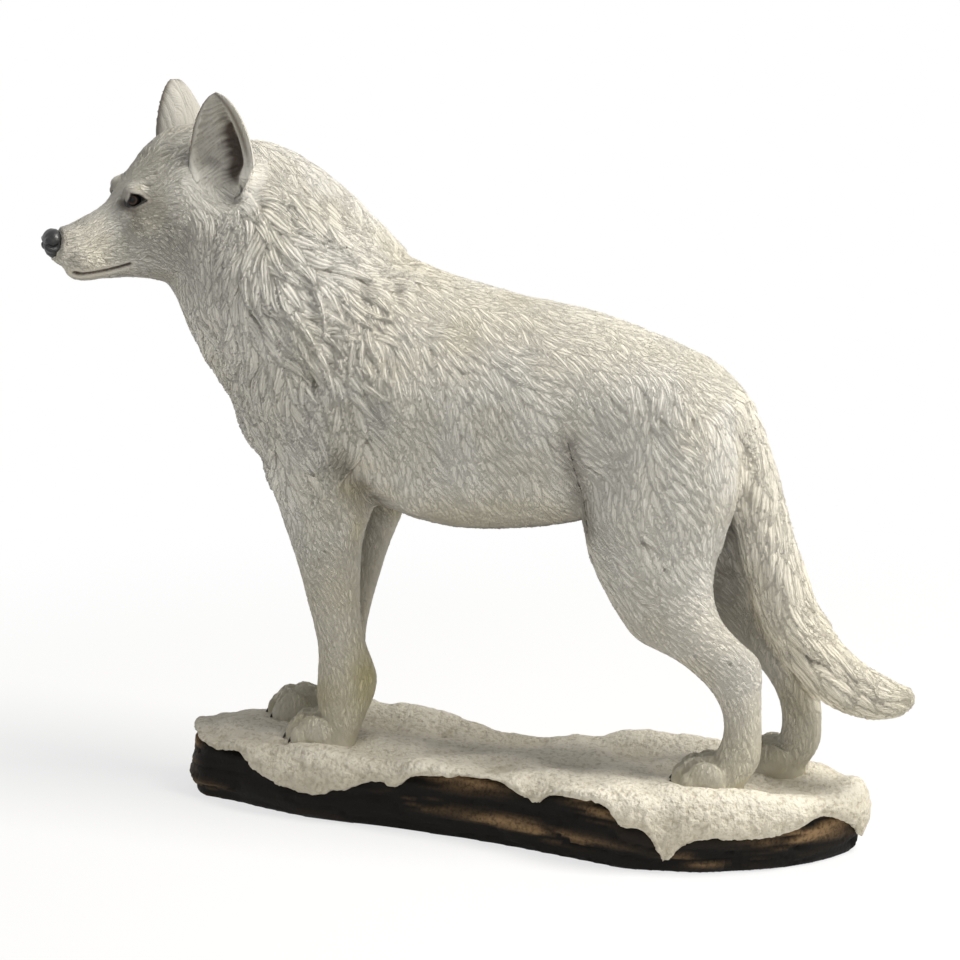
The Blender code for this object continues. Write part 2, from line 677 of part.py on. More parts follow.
def build_body():
    """Trunk, neck, skull, ears, legs and tail as one smooth mesh, with the hollows of the ears."""
    clay = bmesh.new()
    add_torso(clay)
    add_neck(clay)
    add_skull(clay)
    add_leg(clay, NEAR_FORELEG, FORE_SPREAD, -1)
    add_leg(clay, FAR_FORELEG, FORE_SPREAD, 1)
    add_leg(clay, NEAR_HIND_LEG, HIND_SPREAD, -1)
    add_leg(clay, FAR_HIND_LEG, HIND_SPREAD, 1)
    add_tail(clay)
    add_masses(clay, (BROW, CHEEKBONE, UPPER_LIP, RUFF), CHIN)
    add_ear(clay, 1)
    add_ear(clay, -1)
    body = one_skin(clay, BODY_SMOOTHING)
    for sign in (1, -1):
        body = cut_away(body, ear_hollow(sign))
    return body


def build_figurine():
    """The whole figurine as one solid."""
    clay = bmesh.new()
    add_masses(clay, (EYEBALL,), NOSE_PAD)
    for (toes, heel), y in PAWS:
        add_paw(clay, toes, heel, y)
    add_log(clay)
    add_snow(clay)
    clay.from_mesh(build_body())
    skin = one_skin(clay, DETAIL_SMOOTHING)
    places, normals = carve_fur(skin), read_vectors(skin, "normal")
    carve_mouth(places, normals)
    carve_bark(places, normals)
    skin.vertices.foreach_set("co", places.astype(np.float32).ravel())
    return thinned("wolf_figurine", skin)


def resin():
    """Off-white painted resin, slightly satin."""
    material = bpy.data.materials.new("painted_resin")
    material.use_nodes = True
    shader = material.node_tree.nodes["Principled BSDF"]
    shader.inputs["Base Color"].default_value = (0.62, 0.59, 0.53, 1)
    shader.inputs["Roughness"].default_value = 0.6
    shader.inputs["Metallic"].default_value = 0.0
    return material


def main():
    """Builds the figurine in its own collection."""
    clear_scene()
    shelf = bpy.data.collections.new("wolf_figurine")
    bpy.context.scene.collection.children.link(shelf)
    figurine = build_figurine()
    figurine.data.materials.append(resin())
    figurine.data.shade_smooth()
    figurine.data.set_sharp_from_angle(angle=math.radians(40))
    bpy.context.scene.collection.objects.unlink(figurine)
    shelf.objects.link(figurine)


main()
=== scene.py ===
import logging
import math
import random
from dataclasses import dataclass
from enum import Enum
from typing import Sequence

import bmesh
import bpy
import numpy as np
from mathutils import Matrix, Vector, kdtree, noise
from mathutils.bvhtree import BVHTree


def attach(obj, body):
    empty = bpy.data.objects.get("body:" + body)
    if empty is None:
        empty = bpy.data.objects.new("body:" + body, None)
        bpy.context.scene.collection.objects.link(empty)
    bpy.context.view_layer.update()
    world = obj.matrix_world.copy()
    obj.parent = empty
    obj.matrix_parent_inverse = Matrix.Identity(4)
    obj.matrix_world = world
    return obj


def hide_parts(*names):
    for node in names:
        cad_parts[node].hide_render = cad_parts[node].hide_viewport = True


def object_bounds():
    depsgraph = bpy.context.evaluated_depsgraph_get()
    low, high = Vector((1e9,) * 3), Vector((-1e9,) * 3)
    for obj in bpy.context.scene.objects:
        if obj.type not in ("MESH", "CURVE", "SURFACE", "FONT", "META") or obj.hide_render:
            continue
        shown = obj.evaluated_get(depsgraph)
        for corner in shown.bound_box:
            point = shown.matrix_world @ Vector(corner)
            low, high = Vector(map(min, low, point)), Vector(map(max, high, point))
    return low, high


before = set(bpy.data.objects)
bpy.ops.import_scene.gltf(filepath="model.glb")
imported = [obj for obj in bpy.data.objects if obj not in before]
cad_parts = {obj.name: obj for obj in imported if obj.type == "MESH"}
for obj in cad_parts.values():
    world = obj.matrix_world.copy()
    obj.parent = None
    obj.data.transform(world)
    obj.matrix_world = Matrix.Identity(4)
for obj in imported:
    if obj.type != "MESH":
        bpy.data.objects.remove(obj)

logging.basicConfig(level=logging.INFO, format="%(message)s")
LOG = logging.getLogger("wolf_figurine")

CAST_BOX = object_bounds()
MM = 0.001
# Height of the snow under the paws; the neck's joint above it, and how far the head turns and tilts, in degrees
GROUND = 20.0
HEAD_JOINT = (-92.0, -4.0, 152.0)
HEAD_TURN = 45.0
HEAD_TILT = 5.0
# How far the legs stand aside of the middle
FORE_SPREAD = 10.0
HIND_SPREAD = 11.0
# Size of the skins' faces, in millimetres
FORM_VOXEL = 0.6
BODY_VOXEL = 0.5
HEAD_VOXEL = 0.4
LOG_VOXEL = 0.8
SNOW_VOXEL = 0.7
NOSE_VOXEL = 0.2

Row = tuple[float, ...]
Points = np.ndarray
Mesh = bpy.types.Mesh
Material = bpy.types.Material
Piece = bpy.types.Object
Graph = bpy.types.NodeTree
Socket = bpy.types.NodeSocket

TORSO: tuple[Row, ...] = (
    (-88, 97, 118, 8, 108), (-83, 86, 128, 16, 106), (-74, 76, 136, 21.5, 106),
    (-60, 70.5, 139.5, 24.5, 104), (-42, 69, 141, 24.5, 103), (-22, 65, 135.5, 23.5, 100),
    (-2, 66, 131, 22.5, 99), (16, 69.5, 128, 21, 101), (34, 76, 122.5, 20.5, 102),
    (48, 84, 117, 18.5, 102), (57, 90, 111, 14, 101), (63, 95, 105, 7, 100),
)
NECK: tuple[Row, ...] = (
    (-101, -9, 149, 28, 20, 17, 12), (-97, -7, 149, 31, 27, 20, 16), (-91, -5, 145, 34, 31.5, 22.5, 19.5),
    (-82, -3, 138.5, 38, 33, 29, 22.5), (-70, -1, 126, 43, 34.5, 32.5, 24),
    (-60, 0, 115, 45, 34, 32, 23), (-50, 0, 106, 45, 26, 26, 18),
)
SKULL: tuple[Row, ...] = (
    (51.9, -6.2, -8.8, 1.8, -7.5, 2.0), (50.8, -4.8, -10.8, 3.4, -7.8, 2.2), (48.6, -3.9, -12.6, 4.2, -8.4, 2.4),
    (46.0, -3.3, -14.4, 4.6, -9.4, 2.4), (43.0, -2.3, -16.8, 5.3, -10.8, 2.3), (39.5, -0.4, -18.2, 6.1, -11.2, 2.1),
    (35.5, 1.6, -18.0, 7.2, -10.6, 2.0), (32.5, 4.0, -17.9, 8.4, -9.2, 1.9), (30.0, 7.2, -17.8, 9.8, -7.0, 2.2),
    (27.4, 10.6, -17.8, 11.2, -5.6, 2.3), (24.4, 14.4, -18.0, 12.8, -4.4, 2.2), (20.5, 19.4, -18.6, 14.8, -3.0, 2.0),
    (15.4, 22.8, -20.0, 16.8, -1.0, 2.0), (9.0, 24.4, -21.5, 18.2, -1.0, 2.0), (2.0, 23.6, -23.0, 19.0, -2.0, 2.0),
    (-6.0, 20.5, -23.0, 18.0, -1.0, 2.0), (-13.0, 14.0, -19.0, 13.0, 0.0, 2.0),
)
NEAR_FORELEG: tuple[Row, ...] = (
    (-5, -57, -50.6, 4.8, 0), (1, -58.0, -49.4, 5.4, 0), (8, -59.6, -46.6, 5.8, 0), (14, -60.6, -43.8, 5.8, 0),
    (20, -60.4, -42.4, 5.8, 0), (26, -60.0, -44.2, 5.4, 0), (32, -60.6, -46.5, 5.2, 0), (40, -62.6, -47.6, 5.6, 0),
    (52, -65.8, -47.4, 6.6, 0), (62, -69.0, -46.4, 7.8, 0), (70, -71.4, -43.2, 9.0, 0.5), (80, -74.5, -40.0, 10.4, 1.5),
    (92, -77.0, -37.0, 11.0, 2.5), (106, -77.0, -38.0, 9.5, 3.0), (118, -70.0, -43.0, 6.5, 3.0),
)
FAR_FORELEG: tuple[Row, ...] = (
    (-5, -71, -58.5, 5.0, 0), (2, -71.5, -57.8, 5.4, 0), (10, -69.8, -56.8, 5.6, 0), (16, -68.6, -54.8, 5.6, 0),
    (25, -68.4, -55.0, 5.3, 0), (32, -68.6, -54.0, 5.2, 0), (40, -69.0, -51.8, 5.6, 0), (47, -69.4, -49.6, 6.2, 0),
    (56, -70.0, -46.6, 7.2, 0), (66, -71.0, -42.6, 8.6, 0.5), (78, -74.0, -40.0, 10.2, 1.5),
    (92, -77.0, -37.0, 11.0, 2.5), (106, -77.0, -38.0, 9.5, 3.0), (118, -70.0, -43.0, 6.5, 3.0),
)
NEAR_HIND_LEG: tuple[Row, ...] = (
    (-5, 56, 64, 4.6, 0), (0, 55.0, 65.2, 5.0, 0), (5, 55.4, 68.4, 5.0, 0), (10, 58.0, 70.5, 4.7, 0),
    (16, 60.2, 70.6, 4.4, 0), (22, 59.8, 70.4, 4.4, 0), (28, 56.4, 70.3, 4.7, 0), (33, 50.5, 70.2, 5.0, 0),
    (36.5, 44.5, 69.9, 5.4, 0), (39.5, 36.5, 67.0, 5.8, 0), (43, 32.5, 62.4, 6.3, 0), (48, 29.2, 58.2, 7.0, 0),
    (55, 25.0, 56.0, 8.2, -0.5), (63, 21.2, 56.8, 9.6, -1.0), (72, 19.2, 59.4, 10.8, -1.5),
    (82, 19.6, 61.8, 11.6, -2.0), (93, 24.0, 62.0, 11.8, -2.5), (104, 31.0, 58.0, 10.4, -3.0),
    (113, 38.0, 53.0, 7.0, -4.0),
)
FAR_HIND_LEG: tuple[Row, ...] = (
    (-5, 67.5, 75.5, 4.6, 0), (0, 66.5, 76.8, 5.0, 0), (5, 67.0, 80.0, 5.0, 0), (10, 70.4, 82.0, 4.7, 0),
    (16, 71.0, 82.0, 4.4, 0), (22, 69.6, 81.6, 4.4, 0), (28, 65.8, 81.4, 4.7, 0), (33, 60.5, 81.0, 5.0, 0),
    (37, 54.5, 79.6, 5.4, 0), (41, 47.0, 76.0, 5.8, 0), (46, 41.0, 71.0, 6.5, 0), (53, 34.0, 66.5, 7.8, -0.5),
    (62, 28.0, 64.0, 9.4, -1.0), (72, 24.5, 63.6, 10.8, -1.5), (82, 24.0, 63.6, 11.6, -2.0),
    (93, 27.0, 62.6, 11.8, -2.5), (104, 33.0, 58.0, 10.4, -3.0), (113, 40.0, 53.0, 7.0, -4.0),
)
TAIL: tuple[Row, ...] = (
    (50, 0, 107, 6.0), (57, 0.5, 100, 7.0), (61.5, 1, 89, 7.4), (65, 1, 75, 7.8), (68.8, 1.5, 62, 8.2),
    (73.2, 1.5, 50.5, 8.2), (78.6, 2, 40.5, 8.2), (85.2, 2, 32.8, 7.8), (92.4, 2, 28.4, 7.2),
    (99.2, 2, 26.6, 6.2), (104.8, 2, 26.8, 4.4), (108.4, 2, 28.6, 2.0),
)
# Each paw: tip of its longest toe, back of its pad, and its middle aside
PAWS: tuple[tuple[float, float, float], ...] = (
    (-71.4, -50.0, -FORE_SPREAD), (-87.0, -63.0, FORE_SPREAD), (45.2, 66.0, -HIND_SPREAD), (57.5, 78.0, HIND_SPREAD),
)
PAW_WIDTH = 14.0
# How far each toe lies behind the longest, and the step from toe to toe as a share of the paw's width
TOE_SET_BACK = (4.4, 1.0, 0.0, 2.8)
TOE_STEP = 0.275
# Plan of the base, anticlockwise from the tail end: x, y, height of the snow's lower edge
PLAN: tuple[Row, ...] = (
    (95, 9, 5), (91, 18, 9), (76, 22.5, 13), (58, 25.5, 8), (40, 27, 14), (22, 25, 17),
    (8, 23, 12), (-8, 22, 9), (-24, 22.5, 16), (-42, 26.5, 18), (-60, 28, 11), (-78, 25, 8),
    (-92, 18, 13), (-103.5, 6, 17), (-104.5, -5, 18), (-99, -14, 18), (-91, -17, 15), (-82, -19.8, 16.5),
    (-76, -21.3, 13), (-67, -23, 9.7), (-59, -24, 7.6), (-50, -24, 9.5), (-38, -23.5, 13.6),
    (-31, -23.5, 13.2), (-25, -23.7, 18), (-12, -24.2, 19), (2, -25.5, 19), (8, -26.3, 16),
    (12.5, -27, 14.4), (18, -27.8, 18), (32, -30, 19), (37, -30.8, 12.5), (43, -30, 11.8),
    (48.7, -28.6, 3.5), (54, -27.5, 8), (60, -25.5, 10), (72, -19, 10), (80, -13.5, 12),
    (87, -6.5, 13.8), (92.5, 1.5, 10.5),
)
# Masses under the skin of the head: place ahead, aside and high, and radii
FACE_PAIRS = (
    ((26.0, 7.3, 7.3), (4.6, 2.9, 2.7)),
    ((20.0, 10.0, -3.0), (10.0, 4.6, 7.0)),
    ((37.5, 4.2, -11.8), (8.0, 3.2, 4.2)),
    ((7.5, 15.4, -4.5), (8.0, 5.6, 12.0)),
)
CHIN = ((39.5, 0.0, -16.2), (5.6, 4.2, 2.4))
EYE_BULGE = ((27.5, 8.1, 4.7), (3.1, 1.8, 2.5))
NOSE_ROOT = ((46.0, 0.0, -8.0), (2.0, 2.6, 2.8))
# Each eye's ball: radius, place ahead and high, and how far it lies under the skin
EYE_RADIUS = 2.5
EYE_PLACE = (27.3, 4.9)
EYE_SUNK = 0.55
# Opening of the eye, ahead and high, from the tear duct over the upper lid to the outer corner and back
EYE_OUTLINE = ((29.7, 3.1), (29.4, 5.0), (28.7, 6.9), (26.6, 6.5), (24.9, 5.2), (26.4, 4.2), (28.1, 3.1))
TEAR_LINE = ((28.6, 2.9), (28.4, 1.6), (28.2, -0.6), (27.8, -2.4))
MOUTH = (
    (43.4, 2.4, -15.5), (41.6, 3.6, -15.8), (38.0, 5.4, -15.2), (34.8, 6.6, -14.6), (31.6, 8.0, -13.6),
    (29.0, 9.0, -12.6),
)
EAR_FOOT = (4.6, 18.6, 5.5)
EAR_TIP = (7.6, 20.0, 36.0)
EAR_WIDTH = 18.6
EAR_DEPTH = 7.0
EAR_WALL = 1.5
EAR_ROLL = 1.0
EAR_OUTWARD = {1: 52.0, -1: 66.0}


def smoothstep(low: float, high: float, value: Points) -> Points:
    """A smooth step from 0 at low to 1 at high."""
    t = np.clip((value - low) / (high - low), 0.0, 1.0)
    return t * t * (3 - 2 * t)


def bell(gap: Points, width: float) -> Points:
    """A bell curve, 1 where the gap is 0, that falls off over the width."""
    return np.exp(-((gap / width) ** 2))


def srgb(code: str) -> tuple[float, float, float, float]:
    """Linear colour of an sRGB hex code.

    Args:
        code: Six hex digits.

    Returns:
        Red, green, blue and alpha, linear.
    """
    parts = [int(code[i : i + 2], 16) / 255 for i in (0, 2, 4)]
    linear = [c / 12.92 if c <= 0.04045 else ((c + 0.055) / 1.055) ** 2.4 for c in parts]
    return linear[0], linear[1], linear[2], 1.0


def smooth_rows(stations: Sequence[Row], steps: int, closed: bool = False) -> Points:
    """Rows on a smooth curve through the stations.

    Args:
        stations: Rows of numbers to pass through.
        steps: Rows made for each station.
        closed: Whether the last station leads back to the first.

    Returns:
        The rows as an array.
    """
    rows = np.array(stations, float)
    if closed:
        padded = np.vstack([rows[-1], rows, rows[:2]])
    else:
        padded = np.vstack([2 * rows[0] - rows[1], rows, 2 * rows[-1] - rows[-2]])
    found = []
    for p0, p1, p2, p3 in zip(padded, padded[1:], padded[2:], padded[3:]):
        for t in np.arange(steps) / steps:
            bend = (2 * p0 - 5 * p1 + 4 * p2 - p3) * t**2 + (3 * p1 - p0 - 3 * p2 + p3) * t**3
            found.append((2 * p1 + (p2 - p0) * t + bend) / 2)
    if not closed:
        found.append(rows[-1])
    return np.array(found)


def value_noise(places: Points, scale: Sequence[float], seed: float = 0.0) -> Points:
    """Smooth noise at many places at once.

    Args:
        places: Rows of x, y, z in millimetres.
        scale: Size of the noise's cells along x, y and z, in millimetres.
        seed: Moves the noise, so that two fields differ.

    Returns:
        One number from -1 to 1 for each place.
    """
    spots = places / np.array(scale, float) + seed * 17.31
    cell = np.floor(spots).astype(np.int64)
    t = spots - cell
    t = t * t * t * (t * (t * 6 - 15) + 10)
    total = np.zeros(len(places))
    for dx in (0, 1):
        for dy in (0, 1):
            for dz in (0, 1):
                corner = cell + np.array((dx, dy, dz))
                code = (corner[:, 0] * 73856093) ^ (corner[:, 1] * 19349663) ^ (corner[:, 2] * 83492791)
                code = (code ^ (code >> 13)) * 1274126177 & 0xFFFFFFFF
                value = ((code ^ (code >> 16)) & 0xFFFF) / 32767.5 - 1
                weight = np.where(dx, t[:, 0], 1 - t[:, 0]) * np.where(dy, t[:, 1], 1 - t[:, 1])
                total += value * weight * np.where(dz, t[:, 2], 1 - t[:, 2])
    return total


def distance_to_line(places: Points, line: Points) -> tuple[Points, Points]:
    """Distance of places to a line of straight runs.

    Args:
        places: Rows of coordinates.
        line: Corner points of the line, in the same coordinates.

    Returns:
        The distances, and the share of the line's length where each nearest point lies.
    """
    best = np.full(len(places), 1e9)
    share = np.zeros(len(places))
    count = len(line) - 1
    for i in range(count):
        run = line[i + 1] - line[i]
        t = np.clip((places - line[i]) @ run / max(run @ run, 1e-9), 0, 1)
        gap = np.linalg.norm(places - (line[i] + t[:, None] * run), axis=1)
        nearer = gap < best
        best[nearer] = gap[nearer]
        share[nearer] = (i + t[nearer]) / count
    return best, share


def inside_outline(spots: Points, outline: Points) -> Points:
    """Signed distance of flat spots into a closed outline, positive inside.

    Args:
        spots: Rows of two coordinates.
        outline: Corners of the outline.

    Returns:
        One distance for each spot.
    """
    closed = np.vstack([outline, outline[:1]])
    distance, _ = distance_to_line(spots, closed)
    within = np.zeros(len(spots), bool)
    for (x0, y0), (x1, y1) in zip(closed, closed[1:]):
        crosses = (y0 > spots[:, 1]) != (y1 > spots[:, 1])
        with np.errstate(divide="ignore", invalid="ignore"):
            at = (x1 - x0) * (spots[:, 1] - y0) / (y1 - y0) + x0
        within ^= crosses & (spots[:, 0] < at)
    return np.where(within, distance, -distance)


class HeadFrame:
    """The skull's own axes: ahead along the muzzle, aside to its left, and high."""

    def __init__(self) -> None:
        """Turns and tilts the axes as the wolf holds its head."""
        turn, tilt = math.radians(HEAD_TURN), math.radians(HEAD_TILT)
        self.forward = Vector((-math.cos(turn), -math.sin(turn), 0))
        level = Vector((math.sin(turn), -math.cos(turn), 0))
        up = Vector((0, 0, 1))
        self.left = level * math.cos(tilt) - up * math.sin(tilt)
        self.up = up * math.cos(tilt) + level * math.sin(tilt)
        self.origin = Vector((HEAD_JOINT[0], HEAD_JOINT[1], HEAD_JOINT[2] + GROUND))
        self.matrix = np.array((self.forward, self.left, self.up))

    def point(self, ahead: float, aside: float, high: float) -> Vector:
        """World place of a point of the skull."""
        return self.origin + self.forward * ahead + self.left * aside + self.up * high

    def points(self, rows: Points) -> Points:
        """World places of many points of the skull."""
        return np.array(self.origin) + rows @ self.matrix

    def coordinates(self, places: Points) -> Points:
        """Ahead, aside and high of world places."""
        return (places - np.array(self.origin)) @ self.matrix.T

    def folded(self, places: Points) -> Points:
        """Ahead, distance aside to either side, and high of world places."""
        own = self.coordinates(places)
        return np.stack([own[:, 0], np.abs(own[:, 1]), own[:, 2]], axis=1)


HEAD = HeadFrame()


def toes_of(paw: Row) -> list[tuple[float, float]]:
    """Tip along and middle aside of each toe of a paw."""
    tip, _, y = paw
    return [(tip + back, y + (k - 1.5) * PAW_WIDTH * TOE_STEP) for k, back in enumerate(TOE_SET_BACK)]


def above_snow(x: float, y: float, z: float) -> Vector:
    """A point at a height above the snow that the wolf stands on."""
    return Vector((x, y, z + GROUND))


class Clay:
    """Closed forms laid into each other, to be joined into one skin."""

    def __init__(self) -> None:
        """Starts with no clay."""
        self.points: list[Vector] = []
        self.faces: list[tuple[int, ...]] = []

    def loft(self, rings: Sequence[Sequence[Vector]]) -> None:
        """Adds a closed skin over rings that have the same number of points."""
        start, count = len(self.points), len(rings[0])
        for ring in rings:
            self.points.extend(Vector(point) for point in ring)
        for r in range(len(rings) - 1):
            low, high = start + r * count, start + (r + 1) * count
            for k in range(count):
                n = (k + 1) % count
                self.faces.append((low + k, low + n, high + n, high + k))
        self.faces.append(tuple(reversed(range(start, start + count))))
        last = start + (len(rings) - 1) * count
        self.faces.append(tuple(range(last, last + count)))

    def section(self, centre: Vector, side: Vector, up: Vector, size: Row, round_off: Row = (2.0, 2.0)) -> list[Vector]:
        """A ring round a centre, half a superellipse above it and half of another below it.

        Args:
            centre: Middle of the ring.
            side: Direction across.
            up: Direction upward.
            size: Half width, reach above and reach below.
            round_off: Powers of the upper and the lower half.

        Returns:
            The ring's points.
        """
        ring = []
        for k in range(36):
            angle = 2 * math.pi * k / 36
            c, s = math.cos(angle), math.sin(angle)
            power, reach = (round_off[0], size[1]) if s > 0 else (round_off[1], size[2])
            across = math.copysign(abs(c) ** (2 / power), c) * size[0]
            along = math.copysign(abs(s) ** (2 / power), s) * reach
            ring.append(centre + side * across + up * along)
        return ring

    def ellipsoid(self, centre: Vector, radii: Row, axes: Sequence[Vector] | None = None) -> None:
        """Adds an ellipsoid, with its radii along the three axes."""
        x, y, z = axes or (Vector((1, 0, 0)), Vector((0, 1, 0)), Vector((0, 0, 1)))
        rings = []
        for r in range(1, 16):
            polar = math.pi * r / 16
            ring = []
            for k in range(24):
                turn = 2 * math.pi * k / 24
                flat = math.sin(polar)
                offset = x * (radii[0] * flat * math.cos(turn)) + y * (radii[1] * flat * math.sin(turn))
                ring.append(centre + offset + z * (radii[2] * math.cos(polar)))
            rings.append(ring)
        self.loft(rings)

    def mesh(self, name: str) -> Mesh:
        """All the clay as one mesh, faces outward."""
        mesh = bpy.data.meshes.new(name)
        mesh.from_pydata(self.points, [], self.faces)
        solid = bmesh.new()
        solid.from_mesh(mesh)
        bmesh.ops.recalc_face_normals(solid, faces=solid.faces[:])
        solid.to_mesh(mesh)
        solid.free()
        return mesh


def one_skin(parts: Sequence[Mesh], voxel: float, smoothing: int) -> Mesh:
    """Joins closed meshes into one smooth skin.

    Args:
        parts: Meshes that overlap, in millimetres.
        voxel: Size of the skin's faces in millimetres.
        smoothing: Rounds of smoothing, which blend the joins.

    Returns:
        The skin's mesh.
    """
    joined = bmesh.new()
    for part in parts:
        joined.from_mesh(part)
    mesh = bpy.data.meshes.new("clay")
    joined.to_mesh(mesh)
    joined.free()
    rough = bpy.data.objects.new("clay", mesh)
    bpy.context.scene.collection.objects.link(rough)
    remesh = rough.modifiers.new("one_skin", "REMESH")
    remesh.mode = "VOXEL"
    remesh.voxel_size = voxel
    if smoothing:
        smooth = rough.modifiers.new("blend_joins", "SMOOTH")
        smooth.factor = 0.5
        smooth.iterations = smoothing
    skin = bpy.data.meshes.new_from_object(rough.evaluated_get(bpy.context.evaluated_depsgraph_get()))
    bpy.data.objects.remove(rough)
    bpy.data.meshes.remove(mesh)
    return skin


def vectors_of(mesh: Mesh, name: str) -> Points:
    """One vector of each vertex of a mesh, as rows."""
    flat = np.empty(len(mesh.vertices) * 3, np.float32)
    mesh.vertices.foreach_get(name, flat)
    return flat.reshape(-1, 3).astype(float)


def place_vertices(mesh: Mesh, places: Points) -> None:
    """Moves the vertices of a mesh to the places given."""
    mesh.vertices.foreach_set("co", places.astype(np.float32).ravel())
    mesh.update()


def tree_of(places: Points) -> kdtree.KDTree:
    """A search tree of places."""
    tree = kdtree.KDTree(len(places))
    for i, place in enumerate(places):
        tree.insert(place, i)
    tree.balance()
    return tree


def add_attribute(mesh: Mesh, name: str, values: Points) -> None:
    """Stores one number, vector or colour for each vertex of a mesh."""
    kind, key = {1: ("FLOAT", "value"), 3: ("FLOAT_VECTOR", "vector"), 4: ("FLOAT_COLOR", "color")}[
        1 if values.ndim == 1 else values.shape[1]
    ]
    layer = mesh.attributes.new(name, kind, "POINT")
    layer.data.foreach_set(key, values.astype(np.float32).ravel())


def finish_piece(name: str, mesh: Mesh, material: Material, normals: Points | None = None) -> Piece:
    """Brings a mesh to metres and links it as a piece of the figurine.

    Args:
        name: Name of the piece.
        mesh: Its mesh, in millimetres.
        material: Its finish.
        normals: The directions that its vertices are shaded with, if not its own.

    Returns:
        The object, which rides on the casting and stands for it.
    """
    mesh.transform(Matrix.Scale(MM, 4))
    mesh.shade_smooth()
    if normals is not None:
        mesh.normals_split_custom_set_from_vertices(normals)
    low, high = (np.array(corner) for corner in CAST_BOX)
    places = np.clip(vectors_of(mesh, "co"), low + 2e-5, high - 2e-5)
    place_vertices(mesh, places)
    piece = bpy.data.objects.new(name, mesh)
    bpy.context.scene.collection.objects.link(piece)
    mesh.materials.clear()
    mesh.materials.append(material)
    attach(piece, "root")
    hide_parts("wolf_figurine")
    LOG.info("%s: %d faces", name, len(mesh.polygons))
    return piece


class Ear:
    """One ear: a leaf that is round behind and hollow in front."""

    def __init__(self, sign: int) -> None:
        """Places the ear. The sign is 1 on the left."""
        self.foot = HEAD.point(EAR_FOOT[0], EAR_FOOT[1] * sign, EAR_FOOT[2])
        self.tip = HEAD.point(EAR_TIP[0], EAR_TIP[1] * sign, EAR_TIP[2])
        self.stem = (self.tip - self.foot).normalized()
        self.length = (self.tip - self.foot).length
        turn = math.radians(EAR_OUTWARD[sign])
        mouth = HEAD.forward * math.cos(turn) + HEAD.left * math.sin(turn) * sign
        self.mouth = (mouth - self.stem * mouth.dot(self.stem)).normalized()
        self.front = self.stem.cross(self.mouth)
        if self.front.dot(HEAD.forward) < 0:
            self.front = -self.front

    @staticmethod
    def outline(t: Points) -> Points:
        """Half width as a share of the widest, from foot to tip."""
        rise = np.minimum(1.0, 0.45 + 1.6 * t)
        return rise * np.clip(1 - np.clip((t - 0.32) / 0.68, 0, 1) ** 1.9, 0, 1) ** 0.64

    def build(self, clay: Clay) -> None:
        """Adds the leaf in crescent slices."""
        rings = []
        for t in np.linspace(0, 1, 25):
            share = float(self.outline(np.array(t)))
            centre = self.foot + self.stem * (self.length * t)
            half, depth = EAR_WIDTH / 2 * share + 0.3, EAR_DEPTH * share + 0.5
            open_up = min(1.0, max(0.0, (t + 0.06) / 0.22)) * min(1.0, max(0.0, (0.98 - t) / 0.12))
            inner_half = max(half - EAR_WALL - EAR_ROLL, half * 0.25)
            shift = min(EAR_ROLL, half * 0.2)
            inner_depth = (depth - EAR_WALL) * open_up
            ring = []
            for k in range(25):
                angle = math.pi * k / 24
                inward = self.mouth * (math.sin(angle) * depth - 0.9)
                ring.append(centre + self.front * (math.cos(angle) * half) - inward)
            for k in range(23):
                angle = math.pi * (1 - (k + 1) / 24)
                inward = self.mouth * (math.sin(angle) * inner_depth - 0.9)
                ring.append(centre + self.front * (math.cos(angle) * inner_half + shift) - inward)
            rings.append(ring)
        clay.loft(rings)

    def covers(self, places: Points) -> Points:
        """Which places lie on the ear's own blade, inside or behind."""
        share, front, out = self.coordinates(places)
        half = EAR_WIDTH / 2 * self.outline(np.clip(share, 0, 1)) + 0.8
        back = (EAR_DEPTH * half / (EAR_WIDTH / 2) + 0.7) * np.sqrt(np.clip(1 - (front / half) ** 2, 0, 1))
        foot = 0.2 + 0.06 * value_noise(places, (3, 3, 3), 14.0)
        return (share > foot) & (share < 1.15) & (np.abs(front) < half) & (out > -back) & (out < 2.4)

    def coordinates(self, places: Points) -> tuple[Points, Points, Points]:
        """Share up the stem, distance to the front and distance out of the hollow of places."""
        offset = places - np.array(self.foot)
        return offset @ np.array(self.stem) / self.length, offset @ np.array(self.front), offset @ np.array(self.mouth)

    def comb(self, places: Points) -> tuple[Points, Points]:
        """How far up the ear's curled hair places lie, in millimetres, and the ridges of that hair."""
        share, front, _ = self.coordinates(places)
        curl = 0.045 * (front + 4) ** 2 + 1.3 * value_noise(places, (5, 5, 5), 4.0)
        along = share * self.length + curl
        return along, np.abs(np.sin(math.pi * along / 1.2))


EARS = (Ear(1), Ear(-1))


